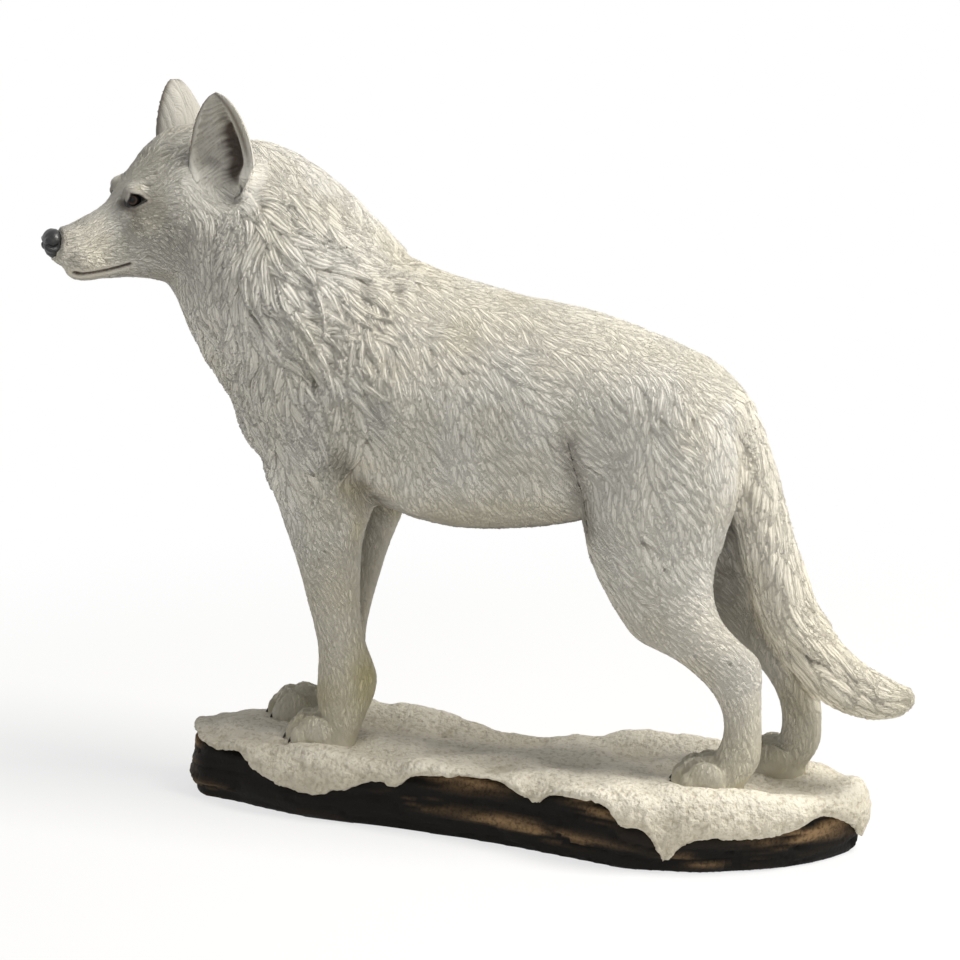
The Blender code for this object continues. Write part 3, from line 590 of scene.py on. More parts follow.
class WolfForm:
    """The wolf's body forms, in millimetres, before any fur."""

    def trunk(self) -> Mesh:
        """Trunk, neck, skull, legs and tail as one smooth skin."""
        clay = Clay()
        side, up = Vector((0, 1, 0)), Vector((0, 0, 1))
        clay.loft([
            clay.section(above_snow(x, 0, mid), side, up, (half, back - mid, mid - belly), (1.9, 2.1))
            for x, belly, back, half, mid in smooth_rows(TORSO, 4)
        ])
        rings = []
        for x, y, z, lean, nape, throat, half in smooth_rows(NECK, 4):
            lean_up = Vector((math.sin(math.radians(lean)), 0, math.cos(math.radians(lean))))
            rings.append(clay.section(above_snow(x, y, z), side, lean_up, (half, nape, throat), (1.8, 1.9)))
        clay.loft(rings)
        clay.loft([
            clay.section(HEAD.point(ahead, 0, mid), HEAD.left, HEAD.up, (half, top - mid, mid - bottom), (upper, 2.3))
            for ahead, top, bottom, half, mid, upper in smooth_rows(SKULL, 4)
        ])
        for stations, spread, outward in (
            (NEAR_FORELEG, FORE_SPREAD, -1), (FAR_FORELEG, FORE_SPREAD, 1),
            (NEAR_HIND_LEG, HIND_SPREAD, -1), (FAR_HIND_LEG, HIND_SPREAD, 1),
        ):
            clay.loft([
                clay.section(
                    above_snow((front + rear) / 2, outward * (spread + further), z),
                    Vector((1, 0, 0)), side, ((rear - front) / 2, half, half), (2.1, 2.1),
                )
                for z, front, rear, half, further in smooth_rows(stations, 3)
            ])
        rows = smooth_rows(TAIL, 3)
        rings = []
        for i, (x, y, z, half) in enumerate(rows):
            before, after = rows[max(i - 1, 0)], rows[min(i + 1, len(rows) - 1)]
            along = Vector((after[0] - before[0], 0, after[2] - before[2])).normalized()
            rings.append(clay.section(above_snow(x, y, z), side, side.cross(along), (half * 0.88, half, half)))
        clay.loft(rings)
        self.masses(clay, FACE_PAIRS, CHIN)
        return one_skin([clay.mesh("forms")], FORM_VOXEL, 28)

    def masses(self, clay: Clay, pairs: Sequence, single: tuple) -> None:
        """Adds ellipsoids on both sides of the skull, and one in its middle."""
        axes = (HEAD.forward, HEAD.left, HEAD.up)
        for (ahead, aside, high), radii in pairs:
            for sign in (1, -1):
                clay.ellipsoid(HEAD.point(ahead, aside * sign, high), radii, axes)
        clay.ellipsoid(HEAD.point(*single[0]), single[1], axes)

    def paws(self, clay: Clay) -> None:
        """Adds four paws with four toes each, pressed a little into the snow."""
        floor = -2.0
        for paw in PAWS:
            toes, heel, y = paw
            length = heel - toes
            clay.ellipsoid(above_snow(heel - length * 0.42, y, floor + 3.0), (length * 0.42, PAW_WIDTH * 0.46, 9.2))
            for tip, toe_y in toes_of(paw):
                clay.ellipsoid(above_snow(tip + 3.6, toe_y, floor + 3.8), (3.6, PAW_WIDTH * 0.14, 4.4))
                clay.ellipsoid(above_snow(tip + 7.4, toe_y, floor + 6.6), (5.0, PAW_WIDTH * 0.135, 4.6))

    def body_skin(self, trunk: Mesh) -> Mesh:
        """The trunk with its paws."""
        clay = Clay()
        self.paws(clay)
        skin = one_skin([trunk, clay.mesh("paws")], BODY_VOXEL, 1)
        places, normals = vectors_of(skin, "co"), vectors_of(skin, "normal")
        x, y, z = places.T
        push = np.zeros(len(places))
        for toes, _, middle in PAWS:
            for k in range(3):
                gap = y - middle - (k - 1) * PAW_WIDTH * TOE_STEP
                near = smoothstep(toes + 12, toes + 6, x) * (x > toes - 4) * smoothstep(GROUND + 14, GROUND + 9, z)
                push -= 1.1 * bell(gap, 0.7) * near * (np.abs(y - middle) < 9)
        for line, depth, breadth, least in BODY_FOLDS:
            gap, _ = distance_to_line(np.column_stack([x, z - GROUND]), np.array(line))
            push -= depth * bell(gap, breadth) * smoothstep(least, least + 4, np.abs(y))
        place_vertices(skin, places + normals * push[:, None])
        return skin

    def head_skin(self, trunk: Mesh) -> Mesh:
        """The head and neck in finer faces, with ears, eye bulges and the root of the nose."""
        cut = bmesh.new()
        cut.from_mesh(trunk)
        far = [v for v in cut.verts if (v.co - HEAD.origin).dot(HEAD.forward) < -16 or v.co.z < GROUND + 112]
        bmesh.ops.delete(cut, geom=far, context="VERTS")
        bmesh.ops.holes_fill(cut, edges=[edge for edge in cut.edges if edge.is_boundary])
        bmesh.ops.triangulate(cut, faces=[face for face in cut.faces if len(face.verts) > 4])
        block = bpy.data.meshes.new("head_block")
        cut.to_mesh(block)
        cut.free()
        clay = Clay()
        for ear in EARS:
            ear.build(clay)
        self.masses(clay, (EYE_BULGE,), NOSE_ROOT)
        return one_skin([block, clay.mesh("ears")], HEAD_VOXEL, 4)


# Folds on both flanks: a line of places along and height above the snow, depth, breadth and least distance aside
BODY_FOLDS = (
    (((18.5, 94), (19.8, 86), (20.6, 79), (22.0, 70)), 2.1, 2.1, 10.5),
    (((-47, 84), (-43.5, 78), (-41.0, 71)), 1.7, 2.4, 9.5),
)
# Lie of the hair along the body: place along and height above the snow, and the way it points there
BODY_HAIR = (
    (-85, 165, 0.8, -0.5), (-82, 150, 0.5, -0.85), (-85, 135, 0.15, -1.0), (-98, 130, 0.0, -1.0), (-85, 105, 0.0, -1.0),
    (-70, 112, 0.25, -0.97), (-55, 122, 0.55, -0.83), (-45, 138, 0.95, -0.3), (-52, 80, 0.15, -1.0),
    (-58, 45, 0.3, -0.95), (-55, 10, 0.1, -1.0), (-10, 132, 0.85, -0.5), (-12, 122, 0.5, -0.86), (-25, 105, 0.3, -0.95),
    (-15, 74, 0.35, -0.93), (15, 90, 0.3, -0.95), (15, 118, 0.6, -0.8), (15, 128, 0.9, -0.4), (45, 113, 0.7, -0.7),
    (42, 92, 0.2, -0.98), (56, 80, 0.3, -0.95), (27, 68, 0.45, -0.9), (52, 44, 0.7, -0.7), (64, 15, 0.05, -1.0),
    (30, 50, 0.8, -0.6),
)
# Lie of the hair on the head: ahead, aside and high, and the way it points there
HEAD_HAIR = (
    (46, 4, -6, -1.0, 0.0, -0.1), (38, 6, -8, -1.0, 0.1, -0.15), (32, 7, -15, -1.0, 0.1, -0.1),
    (25, 6, 14, -0.8, 0.1, 0.6), (14, 6, 23, -1.0, 0.2, 0.0), (26, 10, -2, -0.9, 0.2, -0.45),
    (18, 14, -6, -0.6, 0.0, -0.8), (13, 16, 2, -0.35, 0.0, -0.95), (12, 15, -12, -0.3, 0.0, -1.0),
    (8, 17, 10, -0.4, 0.0, -0.9), (0, 18, -4, -0.3, 0.0, -1.0), (0, 12, 20, -1.0, 0.0, -0.3),
)


class Hair(Enum):
    """Kinds of hair: length, width and height of a lock, strands in it, how far it waves, depth of its strands."""

    FACE = (5.0, 1.6, 0.5, 2, 0.7, 1.1)
    BROW = (7.5, 2.3, 0.9, 3, 0.9, 1.1)
    RUFF = (11.0, 2.9, 1.0, 4, 0.8, 1.0)
    NAPE = (11.0, 3.0, 0.5, 4, 0.5, 0.8)
    MANE = (18.0, 3.8, 1.45, 4, 0.8, 1.0)
    COAT = (11.5, 2.6, 0.6, 3, 0.42, 0.9)
    LEG = (7.5, 1.7, 0.32, 3, 0.35, 1.0)
    TAIL = (20.0, 3.4, 0.95, 4, 0.35, 1.0)


@dataclass
class Locks:
    """Locks of hair as rows: place, outward and flow directions, numbers of the kind, bends of root and tip."""

    places: Points
    normals: Points
    flows: Points
    sizes: Points
    bends: Points


class Coat:
    """The wolf's hair: where each kind grows, which way it lies, and its sculpted locks."""

    def __init__(self, seed: int = 11) -> None:
        """Prepares the tail's line and the random numbers."""
        self.chance = random.Random(seed)
        rows = smooth_rows(TAIL, 3)
        self.tail = rows[:, :3] + (0, 0, GROUND)
        self.tail_half = rows[:, 3]

    def head_share(self, places: Points) -> Points:
        """How far each place belongs to the head rather than to the body."""
        ahead, _, high = HEAD.coordinates(places).T
        return smoothstep(-8, 4, ahead) * smoothstep(-30, -18, high)

    def tail_share(self, places: Points) -> Points:
        """How far each place belongs to the tail."""
        gap, _ = distance_to_line(places[:, [0, 2]], self.tail[:, [0, 2]])
        near = smoothstep(13, 9, gap) * smoothstep(12, 9, np.abs(places[:, 1] - 1))
        return near * smoothstep(57, 63, places[:, 0])

    def flow(self, places: Points) -> Points:
        """The way that the hair lies at each place, as unit rows."""
        guides = np.array(BODY_HAIR)
        gap = (places[:, None, 0] - guides[:, 0]) ** 2 + (places[:, None, 2] - GROUND - guides[:, 1]) ** 2
        weight = np.exp(-gap / (2 * 15.0**2)) + 1e-12
        weight /= weight.sum(axis=1)[:, None]
        body = np.zeros_like(places)
        body[:, [0, 2]] = weight @ guides[:, 2:]
        own = HEAD.coordinates(places)
        guides = np.array(HEAD_HAIR)
        gap = ((HEAD.folded(places)[:, None] - guides[:, :3]) ** 2).sum(axis=2)
        weight = np.exp(-gap / (2 * 6.0**2)) + 1e-12
        weight /= weight.sum(axis=1)[:, None]
        lie = weight @ guides[:, 3:]
        lie[:, 1] *= np.sign(own[:, 1])
        head = lie @ HEAD.matrix
        _, share = distance_to_line(places[:, [0, 2]], self.tail[:, [0, 2]])
        at = np.clip((share * (len(self.tail) - 1)).astype(int), 0, len(self.tail) - 2)
        brush = np.diff(self.tail, axis=0)[at]
        brush /= np.linalg.norm(brush, axis=1)[:, None]
        h, t = self.head_share(places)[:, None], self.tail_share(places)[:, None]
        mixed = (body * (1 - h) + head * h) * (1 - t) + brush * t
        return mixed / np.linalg.norm(mixed, axis=1)[:, None]

    def kinds(self, places: Points) -> Points:
        """Share of each kind of hair at each place, in the order of Hair."""
        own = HEAD.coordinates(places)
        ahead, aside, high = own.T
        x, z = places[:, 0], places[:, 2] - GROUND
        head, tail = self.head_share(places), self.tail_share(places)
        face = head * smoothstep(10.5, 15.5, ahead + 0.25 * np.clip(-6 - high, 0, 20))
        face = np.maximum(face, head * smoothstep(8, 13, high))
        brow = face * smoothstep(8, 14, high) * smoothstep(27, 22, ahead)
        ruff = head * (1 - face) * smoothstep(2, 7, ahead) * smoothstep(9, 13, np.abs(aside))
        mane = smoothstep(-30, -44, x) * smoothstep(78, 98, z + 0.25 * (-40 - x))
        nape = mane * smoothstep(120, 150, z - 0.55 * (-45 - x)) * smoothstep(-70, -45, x) * 0.6
        nape = np.maximum(nape, mane * smoothstep(150, 160, z) * smoothstep(17, 10, np.abs(places[:, 1] + 4)))
        leg_top = np.where(x < 0, 64, 52)
        leg = smoothstep(leg_top + 12, leg_top - 8, z) * (1 - tail)
        rest = (1 - face) * (1 - ruff)
        mane, leg = mane * rest * (1 - tail), leg * rest
        coat = (1 - mane) * (1 - leg) * (1 - tail) * rest
        shares = np.stack([face - brow, brow, ruff, nape * rest, mane * (1 - nape), coat, leg, tail], axis=1)
        return shares / np.maximum(shares.sum(axis=1), 1e-6)[:, None]

    def locks(self, skin: Mesh) -> Locks:
        """Lays out the locks over a bare skin.

        Args:
            skin: The body's mesh in millimetres.

        Returns:
            The locks, from the ones lowest down the flow to the highest.
        """
        places, normals = vectors_of(skin, "co"), vectors_of(skin, "normal")
        flows = self.flow(places)
        shares = self.kinds(places)
        sizes = shares @ np.array([kind.value for kind in Hair])
        tree = tree_of(places)
        taken = places[:, 2] < GROUND + 0.5
        order = np.flatnonzero(~taken).tolist()
        self.chance.shuffle(order)
        picked = []
        for i in order:
            if taken[i]:
                continue
            picked.append(i)
            length, width = sizes[i, 0], sizes[i, 1]
            near = np.array([found[1] for found in tree.find_range(places[i], length * 0.32)])
            gap = places[near] - places[i]
            along = gap @ flows[i]
            across = np.linalg.norm(gap - along[:, None] * flows[i], axis=1)
            taken[near[(np.abs(along) < length * 0.32) & (across < width * 0.5)]] = True
        picked = np.array(picked)
        picked = picked[np.argsort(places[picked] @ np.array((-0.55, 0, 0.83)))]
        normal = normals[picked]
        flow = flows[picked]
        flow = flow - normal * (flow * normal).sum(axis=1)[:, None]
        flow /= np.maximum(np.linalg.norm(flow, axis=1), 1e-6)[:, None]
        stretch = np.array([self.chance.uniform(0.75, 1.25) for _ in picked])
        jitter = np.array([self.chance.gauss(0, 0.1) for _ in picked])
        size = sizes[picked].copy()
        size[:, 0] *= stretch
        size[:, 1] *= 2 - stretch
        size[:, 2] *= 0.3 + 0.7 * stretch
        middle = places[picked]
        reach = flow * size[:, :1]
        angles = [self.waves(spots) * size[:, 4] for spots in (middle - 0.4 * reach, middle, middle + 0.6 * reach)]
        turn = angles[1] + jitter
        side = np.cross(normal, flow)
        flow = flow * np.cos(turn)[:, None] + side * np.sin(turn)[:, None]
        bends = np.stack([angles[0] - angles[1], angles[2] - angles[1]], axis=1)
        return Locks(middle, normal, flow, size, bends)

    @staticmethod
    def waves(places: Points) -> Points:
        """How far the hair turns out of its lie at each place, the same for neighbouring locks."""
        return 1.5 * value_noise(places, (8.5, 8.5, 8.5), 1.0) + 0.8 * value_noise(places, (4.2, 4.2, 4.2), 2.0)

    def sculpt(self, skin: Mesh, locks: Locks, bare: Points) -> tuple[Points, Points]:
        """Presses the locks into a skin.

        Args:
            skin: A mesh in millimetres, whose vertices are moved.
            locks: The locks to press in.
            bare: For each vertex, the share of the relief that it takes.

        Returns:
            The depth between locks from 0 on top to 1 in a groove, and for each vertex the distance across
            its lock, the distance along it and the lock's number.
        """
        places, normals = vectors_of(skin, "co"), vectors_of(skin, "normal")
        tree = tree_of(places)
        on_tail, from_tail = self.tail_share(places), self.tail_share(locks.places)
        relief = np.zeros(len(places))
        strand = np.zeros((len(places), 3))
        strand[:, 0] = places @ np.array((1.0, 1.0, 0.2))
        for i in range(len(locks.places)):
            length, width, height, strands, _, _ = locks.sizes[i]
            middle = locks.places[i] + locks.flows[i] * (length * 0.1)
            found = tree.find_range(middle, length * 0.56)
            if not found:
                continue
            near = np.array([spot[1] for spot in found])
            gap = places[near] - locks.places[i]
            flow, normal = locks.flows[i], locks.normals[i]
            side = np.cross(normal, flow)
            t = (gap @ flow) / length + 0.4
            root, tip = np.clip(locks.bends[i], -0.9, 0.9)
            bend = length * np.where(t < 0.4, -root * (t - 0.4) ** 2 / 0.8, tip * (t - 0.4) ** 2 / 1.2)
            half = width * 0.62 * (0.55 + 0.45 * smoothstep(0, 0.35, t))
            half *= np.clip(1 - np.clip((t - 0.4) / 0.6, 0, 1) ** 1.8, 0, 1) ** 0.75 + 1e-3
            s = (gap @ side - bend) / half
            inside = (t > 0) & (t < 1) & (np.abs(s) < 1) & (normals[near] @ normal > 0.1)
            inside &= np.abs(on_tail[near] - from_tail[i]) < 0.6
            if not inside.any():
                continue
            near, t, s = near[inside], t[inside], s[inside]
            count = max(1, round(strands))
            ridge = np.abs(np.sin(0.5 * math.pi * count * (s + 1))) ** 0.8
            rise = smoothstep(0.0, 0.25, t) * (0.35 + 0.65 * t**0.8)
            lock = height * rise * (0.5 * (1 - np.abs(s) ** 3) + 0.5 * ridge * (1 - 0.35 * s * s))
            old = relief[near] * (1 - 0.3 * smoothstep(0.1, 0.5, t) * (1 - s * s))
            relief[near] = np.maximum(lock, old)
            laid = near[lock >= old]
            strand[laid, 0] = (0.5 * count * (s + 1))[lock >= old]
            strand[laid, 1] = (t * length)[lock >= old]
            strand[laid, 2] = (i * 0.37) % 40
        kinds = self.kinds(places)
        tall = np.maximum(kinds @ np.array([kind.value[2] for kind in Hair]), 0.05)
        add_attribute(skin, "depth", kinds @ np.array([kind.value[5] for kind in Hair]) * (0.25 + 0.75 * bare))
        groove = 1 - np.clip(relief / tall, 0, 1)
        sunk = places + normals * ((relief - 0.5 * tall) * bare)[:, None]
        place_vertices(skin, sunk)
        return groove, strand


class FaceCarving:
    """What is cut into the face by hand: eyes, mouth, tear lines and the hair inside the ears."""

    def carve(self, skin: Mesh) -> Points:
        """Carves the skin and says how far the fur covers it.

        Args:
            skin: The head's mesh in millimetres.

        Returns:
            For each vertex, the share of the fur's relief that it takes.
        """
        places, normals = vectors_of(skin, "co"), vectors_of(skin, "normal")
        folded = HEAD.folded(places)
        eye = self.eye_depth(folded)
        push = -1.5 * smoothstep(-0.25, 0.45, eye)
        rear = smoothstep(30.0, 28.2, folded[:, 0])
        lid = smoothstep(-1.3, -0.35, eye) * smoothstep(0.1, -0.35, eye) * rear
        push += lid * (0.2 + 0.22 * smoothstep(3.0, 6.0, folded[:, 2]))
        push -= 0.7 * np.exp(-((folded[:, 0] - 30.2) ** 2 + (folded[:, 2] - 4.2) ** 2) / 1.6) * (folded[:, 1] > 4)
        mouth = self.mouth_gap(folded)
        push -= 0.6 * bell(mouth, 0.36)
        push += 0.22 * bell(mouth - 1.1, 0.6)
        tear, _ = distance_to_line(folded[:, [0, 2]], np.array(TEAR_LINE))
        push -= 0.25 * bell(tear, 1.1) * (folded[:, 1] > 4) * (folded[:, 0] > 24)
        push -= 0.5 * bell(folded[:, 1], 0.45) * smoothstep(42, 46, folded[:, 0]) * smoothstep(-11, -13, folded[:, 2])
        pad = smoothstep(46.1, 47.6, folded[:, 0] + 0.12 * (folded[:, 2] + 7))
        push -= 1.3 * pad * smoothstep(-12.6, -11.4, folded[:, 2])
        bare = np.ones(len(places))
        bare *= smoothstep(0.6, 2.4, mouth) * smoothstep(-0.4, -2.6, eye)
        for ear in EARS:
            share, front, out = ear.coordinates(places)
            within = self.hollow(ear, places, normals)
            along, comb = ear.comb(places)
            tufts = value_noise(np.column_stack([front, along, front * 0]), (4.5, 1.6, 9), 5.0)
            push += within * (0.55 * comb + 0.8 * tufts - 0.3) * smoothstep(-5.5, 0.5, front)
            bare *= 1 - within
            near = (share > 0.12) & (share < 1.1) & (np.abs(front) < EAR_WIDTH * 0.6) & (np.abs(out) < 9)
            bare[near] *= 0.5
            foot = smoothstep(-0.12, -0.02, share) * (share < 0.3)
            bare *= 1 - 0.5 * foot * (np.abs(front) < EAR_WIDTH * 0.55) * (np.abs(out + 2) < 6)
        place_vertices(skin, places + normals * push[:, None])
        return bare

    @staticmethod
    def eye_depth(folded: Points) -> Points:
        """Signed distance into the eye's opening of places in the skull's axes."""
        depth = inside_outline(folded[:, [0, 2]], np.array(EYE_OUTLINE))
        return np.where((folded[:, 1] > 4) & (folded[:, 1] < 14), depth, -9.0)

    @staticmethod
    def mouth_gap(folded: Points) -> Points:
        """Distance to the line of the mouth, seen from the side."""
        gap, _ = distance_to_line(folded[:, [0, 2]], np.array(MOUTH)[:, [0, 2]])
        return np.where(folded[:, 1] > 1.2, gap, 9.0)

    @staticmethod
    def hollow(ear: Ear, places: Points, normals: Points) -> Points:
        """How far each place lies on the inside of an ear."""
        share, front, out = ear.coordinates(places)
        half = EAR_WIDTH / 2 * ear.outline(np.clip(share, 0, 1)) - 0.4 - EAR_ROLL
        front = front - EAR_ROLL
        round_off = np.sqrt(np.clip(1 - (front / (half + 0.5)) ** 2, 0, 1))
        bottom = -(EAR_DEPTH * half / (EAR_WIDTH / 2) + 0.5) * round_off + 0.3
        within = smoothstep(0.0, 0.9, half - np.abs(front)) * smoothstep(0.04, 0.2, share)
        within = within * (share < 1.0) * (out < 1.2) * (out > bottom)
        return within * smoothstep(0.0, 0.35, normals @ np.array(ear.mouth))

    def paint(self, places: Points, normals: Points) -> tuple[Points, Points]:
        """Brown and black paint on the head, with painted shade in the ears and along the tear lines.

        Args:
            places: Places on the head in millimetres.
            normals: The skin's directions there.

        Returns:
            Shares of brown and of black, both holding painted shade.
        """
        folded = HEAD.folded(places)
        ahead, aside, high = folded.T
        eye = self.eye_depth(folded)
        black = smoothstep(-0.45, -0.05, eye)
        mouth = self.mouth_gap(folded)
        brown_and_shade = 0.85 * bell(mouth, 0.4) + 0.25 * bell(mouth, 1.6)
        black = np.maximum(black, 0.6 * bell(mouth, 0.3))
        black = np.maximum(black, 0.9 * np.exp(-((ahead - 29.4) ** 2 / 0.5 + (high - 3.9) ** 2 / 1.1)) * (aside > 4))
        brown_and_shade += 0.8 * np.exp(-((ahead - 42.6) ** 2 + (high + 15.6) ** 2) / 0.25)
        tear, _ = distance_to_line(folded[:, [0, 2]], np.array(TEAR_LINE))
        # Painted shade: a soft brown along the groove of each tear line.
        brown_and_shade += 0.32 * bell(tear, 1.3) * (aside > 4) * (ahead > 24)
        corner = 0.5 * np.exp(-((ahead - 30.0) ** 2 + (high - 3.4) ** 2) / 1.2) * (aside > 4)
        brown_and_shade += 0.4 * bell(eye + 0.9, 0.8) + corner
        brown_and_shade += 0.4 * np.exp(-((ahead - 46.5) ** 2 + (high + 6) ** 2) / 9)
        brown_and_shade += 0.28 * smoothstep(1.5, 5, ahead - 36) * smoothstep(-5, -1, high)
        brown_and_shade += 0.35 * np.exp(-((ahead - 43.5) ** 2 + (high + 11) ** 2) / 4)
        for ear in EARS:
            share, front, out = ear.coordinates(places)
            within = self.hollow(ear, places, normals)
            along, comb = ear.comb(places)
            ragged = front + 1.6 * value_noise(np.column_stack([front, along, out]), (5, 1.3, 9), 6.0)
            # Inside the ear, brown is its own colour. It gets darker between the ridges of its hair and deep in the
            # hollow, where black joins it: painted shade.
            deep_shade = smoothstep(2.6, -3.0, ragged) * smoothstep(-0.6, -3.6, out) * smoothstep(0.05, 0.25, share)
            brown_and_shade = np.maximum(brown_and_shade, 0.45 * within * (1 - comb) ** 1.5)
            brown_and_shade = np.maximum(brown_and_shade, within * (0.14 + 1.15 * deep_shade * smoothstep(0.98, 0.7, share)))
            black = np.maximum(black, 0.62 * within * deep_shade * smoothstep(0.9, 0.5, share))
            half = EAR_WIDTH / 2 * ear.outline(np.clip(share, 0, 1)) - EAR_ROLL
            rim = bell(np.abs(front - EAR_ROLL) - half, 0.7) * smoothstep(-2.2, 0.2, out) * (out < 2.5)
            brown_and_shade = np.maximum(brown_and_shade, 0.75 * rim * smoothstep(0.3, 0.5, share) * (share < 1.1))
        return np.clip(brown_and_shade, 0, 1), np.clip(black, 0, 1)


class Fur:
    """The wolf's finished skin: locks pressed into the forms, masks for the paint, and the cut into pieces."""

    def __init__(self, form: WolfForm, coat: Coat, carving: FaceCarving) -> None:
        """Makes the bare skins and lays out the locks."""
        trunk = form.trunk()
        self.coat, self.carving = coat, carving
        self.body, self.head = form.body_skin(trunk), form.head_skin(trunk)
        for skin in (self.body, self.head):
            self.follow_casting(skin)
        self.locks = coat.locks(self.body)
        LOG.info("locks of fur: %d", len(self.locks.places))

    def follow_casting(self, skin: Mesh) -> None:
        """Moves a bare skin onto the broad tufts of the casting's own surface, smoothed over its flat faces."""
        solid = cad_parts["wolf_figurine"].data
        tree = BVHTree.FromPolygons([v.co / MM for v in solid.vertices], [p.vertices for p in solid.polygons])
        places, normals = vectors_of(skin, "co"), vectors_of(skin, "normal")
        _, _, ruff, nape, mane, body, _, tail = self.coat.kinds(places).T
        share = (0.3 * ruff + nape + mane + 0.8 * body) * smoothstep(GROUND + 56, GROUND + 72, places[:, 2])
        share += tail * smoothstep(102, 94, places[:, 0])
        offset = np.zeros(len(places))
        for i in np.flatnonzero(share > 0.01):
            place, normal = Vector(places[i]), Vector(normals[i])
            hit, way, _, gap = tree.ray_cast(place + normal * 3.5, -normal, 7.0)
            if hit is not None and way.dot(normal) > 0.3:
                offset[i] = 3.5 - gap
        offset *= share
        ends = np.empty(len(skin.edges) * 2, np.int32)
        skin.edges.foreach_get("vertices", ends)
        one, other = ends.reshape(-1, 2).T
        count = np.bincount(one, minlength=len(places)) + np.bincount(other, minlength=len(places))
        for _ in range(18):
            around = np.bincount(one, offset[other], len(places)) + np.bincount(other, offset[one], len(places))
            offset = 0.5 * offset + 0.5 * around / np.maximum(count, 1)
        place_vertices(skin, places + normals * offset[:, None])

    def build(self, finish: Material) -> list[Piece]:
        """Makes the pieces of the skin.

        Args:
            finish: The painted fur.

        Returns:
            The pieces.
        """
        head_bare = self.carving.carve(self.head)
        pieces = []
        for skin, bare, groups in (
            (self.head, head_bare, ("wolf_head",)),
            (self.body, None, ("wolf_mane", "wolf_forequarters", "wolf_trunk", "wolf_hindquarters", "wolf_tail")),
        ):
            rest = vectors_of(skin, "co")
            cover = np.ones(len(rest)) if bare is None else bare
            cover = cover * smoothstep(GROUND - 1, GROUND + 8, rest[:, 2])
            groove, strand = self.coat.sculpt(skin, self.locks, cover)
            for ear in EARS:
                share, front, _ = ear.coordinates(rest)
                on_ear = ear.covers(rest)
                upward = np.column_stack([front, share * ear.length, front * 0])
                warp = 1.1 * value_noise(upward, (4.5, 13, 9), 12.0) + 0.5 * value_noise(upward, (1.6, 6, 9), 13.0)
                strand[on_ear] = np.column_stack([front * 0.8 + warp, share * ear.length, front * 0 + 3.0])[on_ear]
            places, normals = vectors_of(skin, "co"), vectors_of(skin, "normal")
            add_attribute(skin, "strand", strand)
            add_attribute(skin, "paint", self.paint(places, normals, groove * cover))
            add_attribute(skin, "tone_and_painted_light", self.tone_and_painted_light(places))
            corners = np.empty(len(skin.polygons) * 3, np.float32)
            skin.polygons.foreach_get("center", corners)
            centres = corners.reshape(-1, 3).astype(float)
            if bare is None:
                sunk = places - normals * (0.25 * smoothstep(-0.2, 0.9, self.into_head(places)))[:, None]
                place_vertices(skin, sunk)
            for k, name in enumerate(groups):
                if name == "wolf_head":
                    wanted = self.into_head(centres) > -0.7
                else:
                    wanted = (self.into_head(centres) < 1.5) & (self.region(centres) == k)
                pieces.append(self.cut_piece(name, skin, wanted, normals, finish))
        return pieces

    @staticmethod
    def into_head(places: Points) -> Points:
        """How far places lie inside the part of the skin that the head's piece covers."""
        ahead, _, high = HEAD.coordinates(places).T
        return np.minimum(ahead + 6 + 3.5 * smoothstep(0, 8, high), high + 26)

    def region(self, centres: Points) -> Points:
        """The body's piece of each face: 0 mane, 1 forequarters, 2 trunk, 3 hindquarters, 4 tail."""
        x, z = centres[:, 0], centres[:, 2] - GROUND
        front = np.where(z > 104, 0, 1)
        behind = np.where(self.coat.tail_share(centres) > 0.5, 4, 3)
        return np.where(x < -36, front, np.where(x < 14, 2, behind))

    def paint(self, places: Points, normals: Points, groove: Points) -> Points:
        """Masks of the paint at each place: groove, yellowing, brown and black; the brown is painted shade between the
        legs, under the body and in the folds.
        """
        x, y, z = places[:, 0], places[:, 1], places[:, 2] - GROUND
        soft = value_noise(places, (11, 11, 11), 7.0)
        blotch = 0.5 + 0.5 * value_noise(places, (5, 5, 5), 8.0)
        yellow = 0.45 * smoothstep(34, 8, z) * (0.5 + 0.5 * blotch)
        yellow += 0.8 * np.exp(-((x + 44) ** 2 / 60 + (z - 72) ** 2 / 160)) * blotch
        yellow += 0.35 * np.exp(-((x + 44) ** 2 / 14 + (z - 22) ** 2 / 400))
        yellow += 0.35 * smoothstep(84, 68, z) * smoothstep(-40, -20, x) * smoothstep(30, 10, x)
        yellow += 0.3 * smoothstep(70, 44, z) * smoothstep(-22, -34, x) * (0.6 + 0.4 * blotch) * smoothstep(6, 16, z)
        yellow += 0.12 * smoothstep(0.1, 0.6, soft)
        # Painted shade: brown between the legs and under the belly, near the middle.
        between_legs_shade = smoothstep(9, 3, np.abs(y)) * smoothstep(92, 70, z) * smoothstep(8, 20, z)
        between_legs_shade *= 1 - self.coat.tail_share(places)
        brown_and_shade = 0.55 * between_legs_shade * (0.6 + 0.4 * blotch)
        # Painted shade: brown on faces that turn downward.
        brown_and_shade += 0.35 * smoothstep(-0.55, -0.95, normals[:, 2]) * (z > 40)
        # Painted shade: brown along the folds of the flanks.
        for line, _, breadth, least in BODY_FOLDS:
            gap, _ = distance_to_line(np.column_stack([x, z]), np.array(line))
            brown_and_shade += 0.5 * bell(gap, 1.7 * breadth) * smoothstep(least - 3, least + 2, np.abs(y))
        own = HEAD.coordinates(places)
        on_head = (self.coat.head_share(places) > 0.02) | (own[:, 2] > 4) & (own[:, 0] > -10)
        face_brown_and_shade, black = self.carving.paint(places, normals)
        brown_and_shade = np.where(on_head, np.maximum(brown_and_shade, face_brown_and_shade), brown_and_shade)
        black = np.where(on_head, black, 0)
        return np.clip(np.stack([groove, yellow, brown_and_shade, black], axis=1), 0, 1)

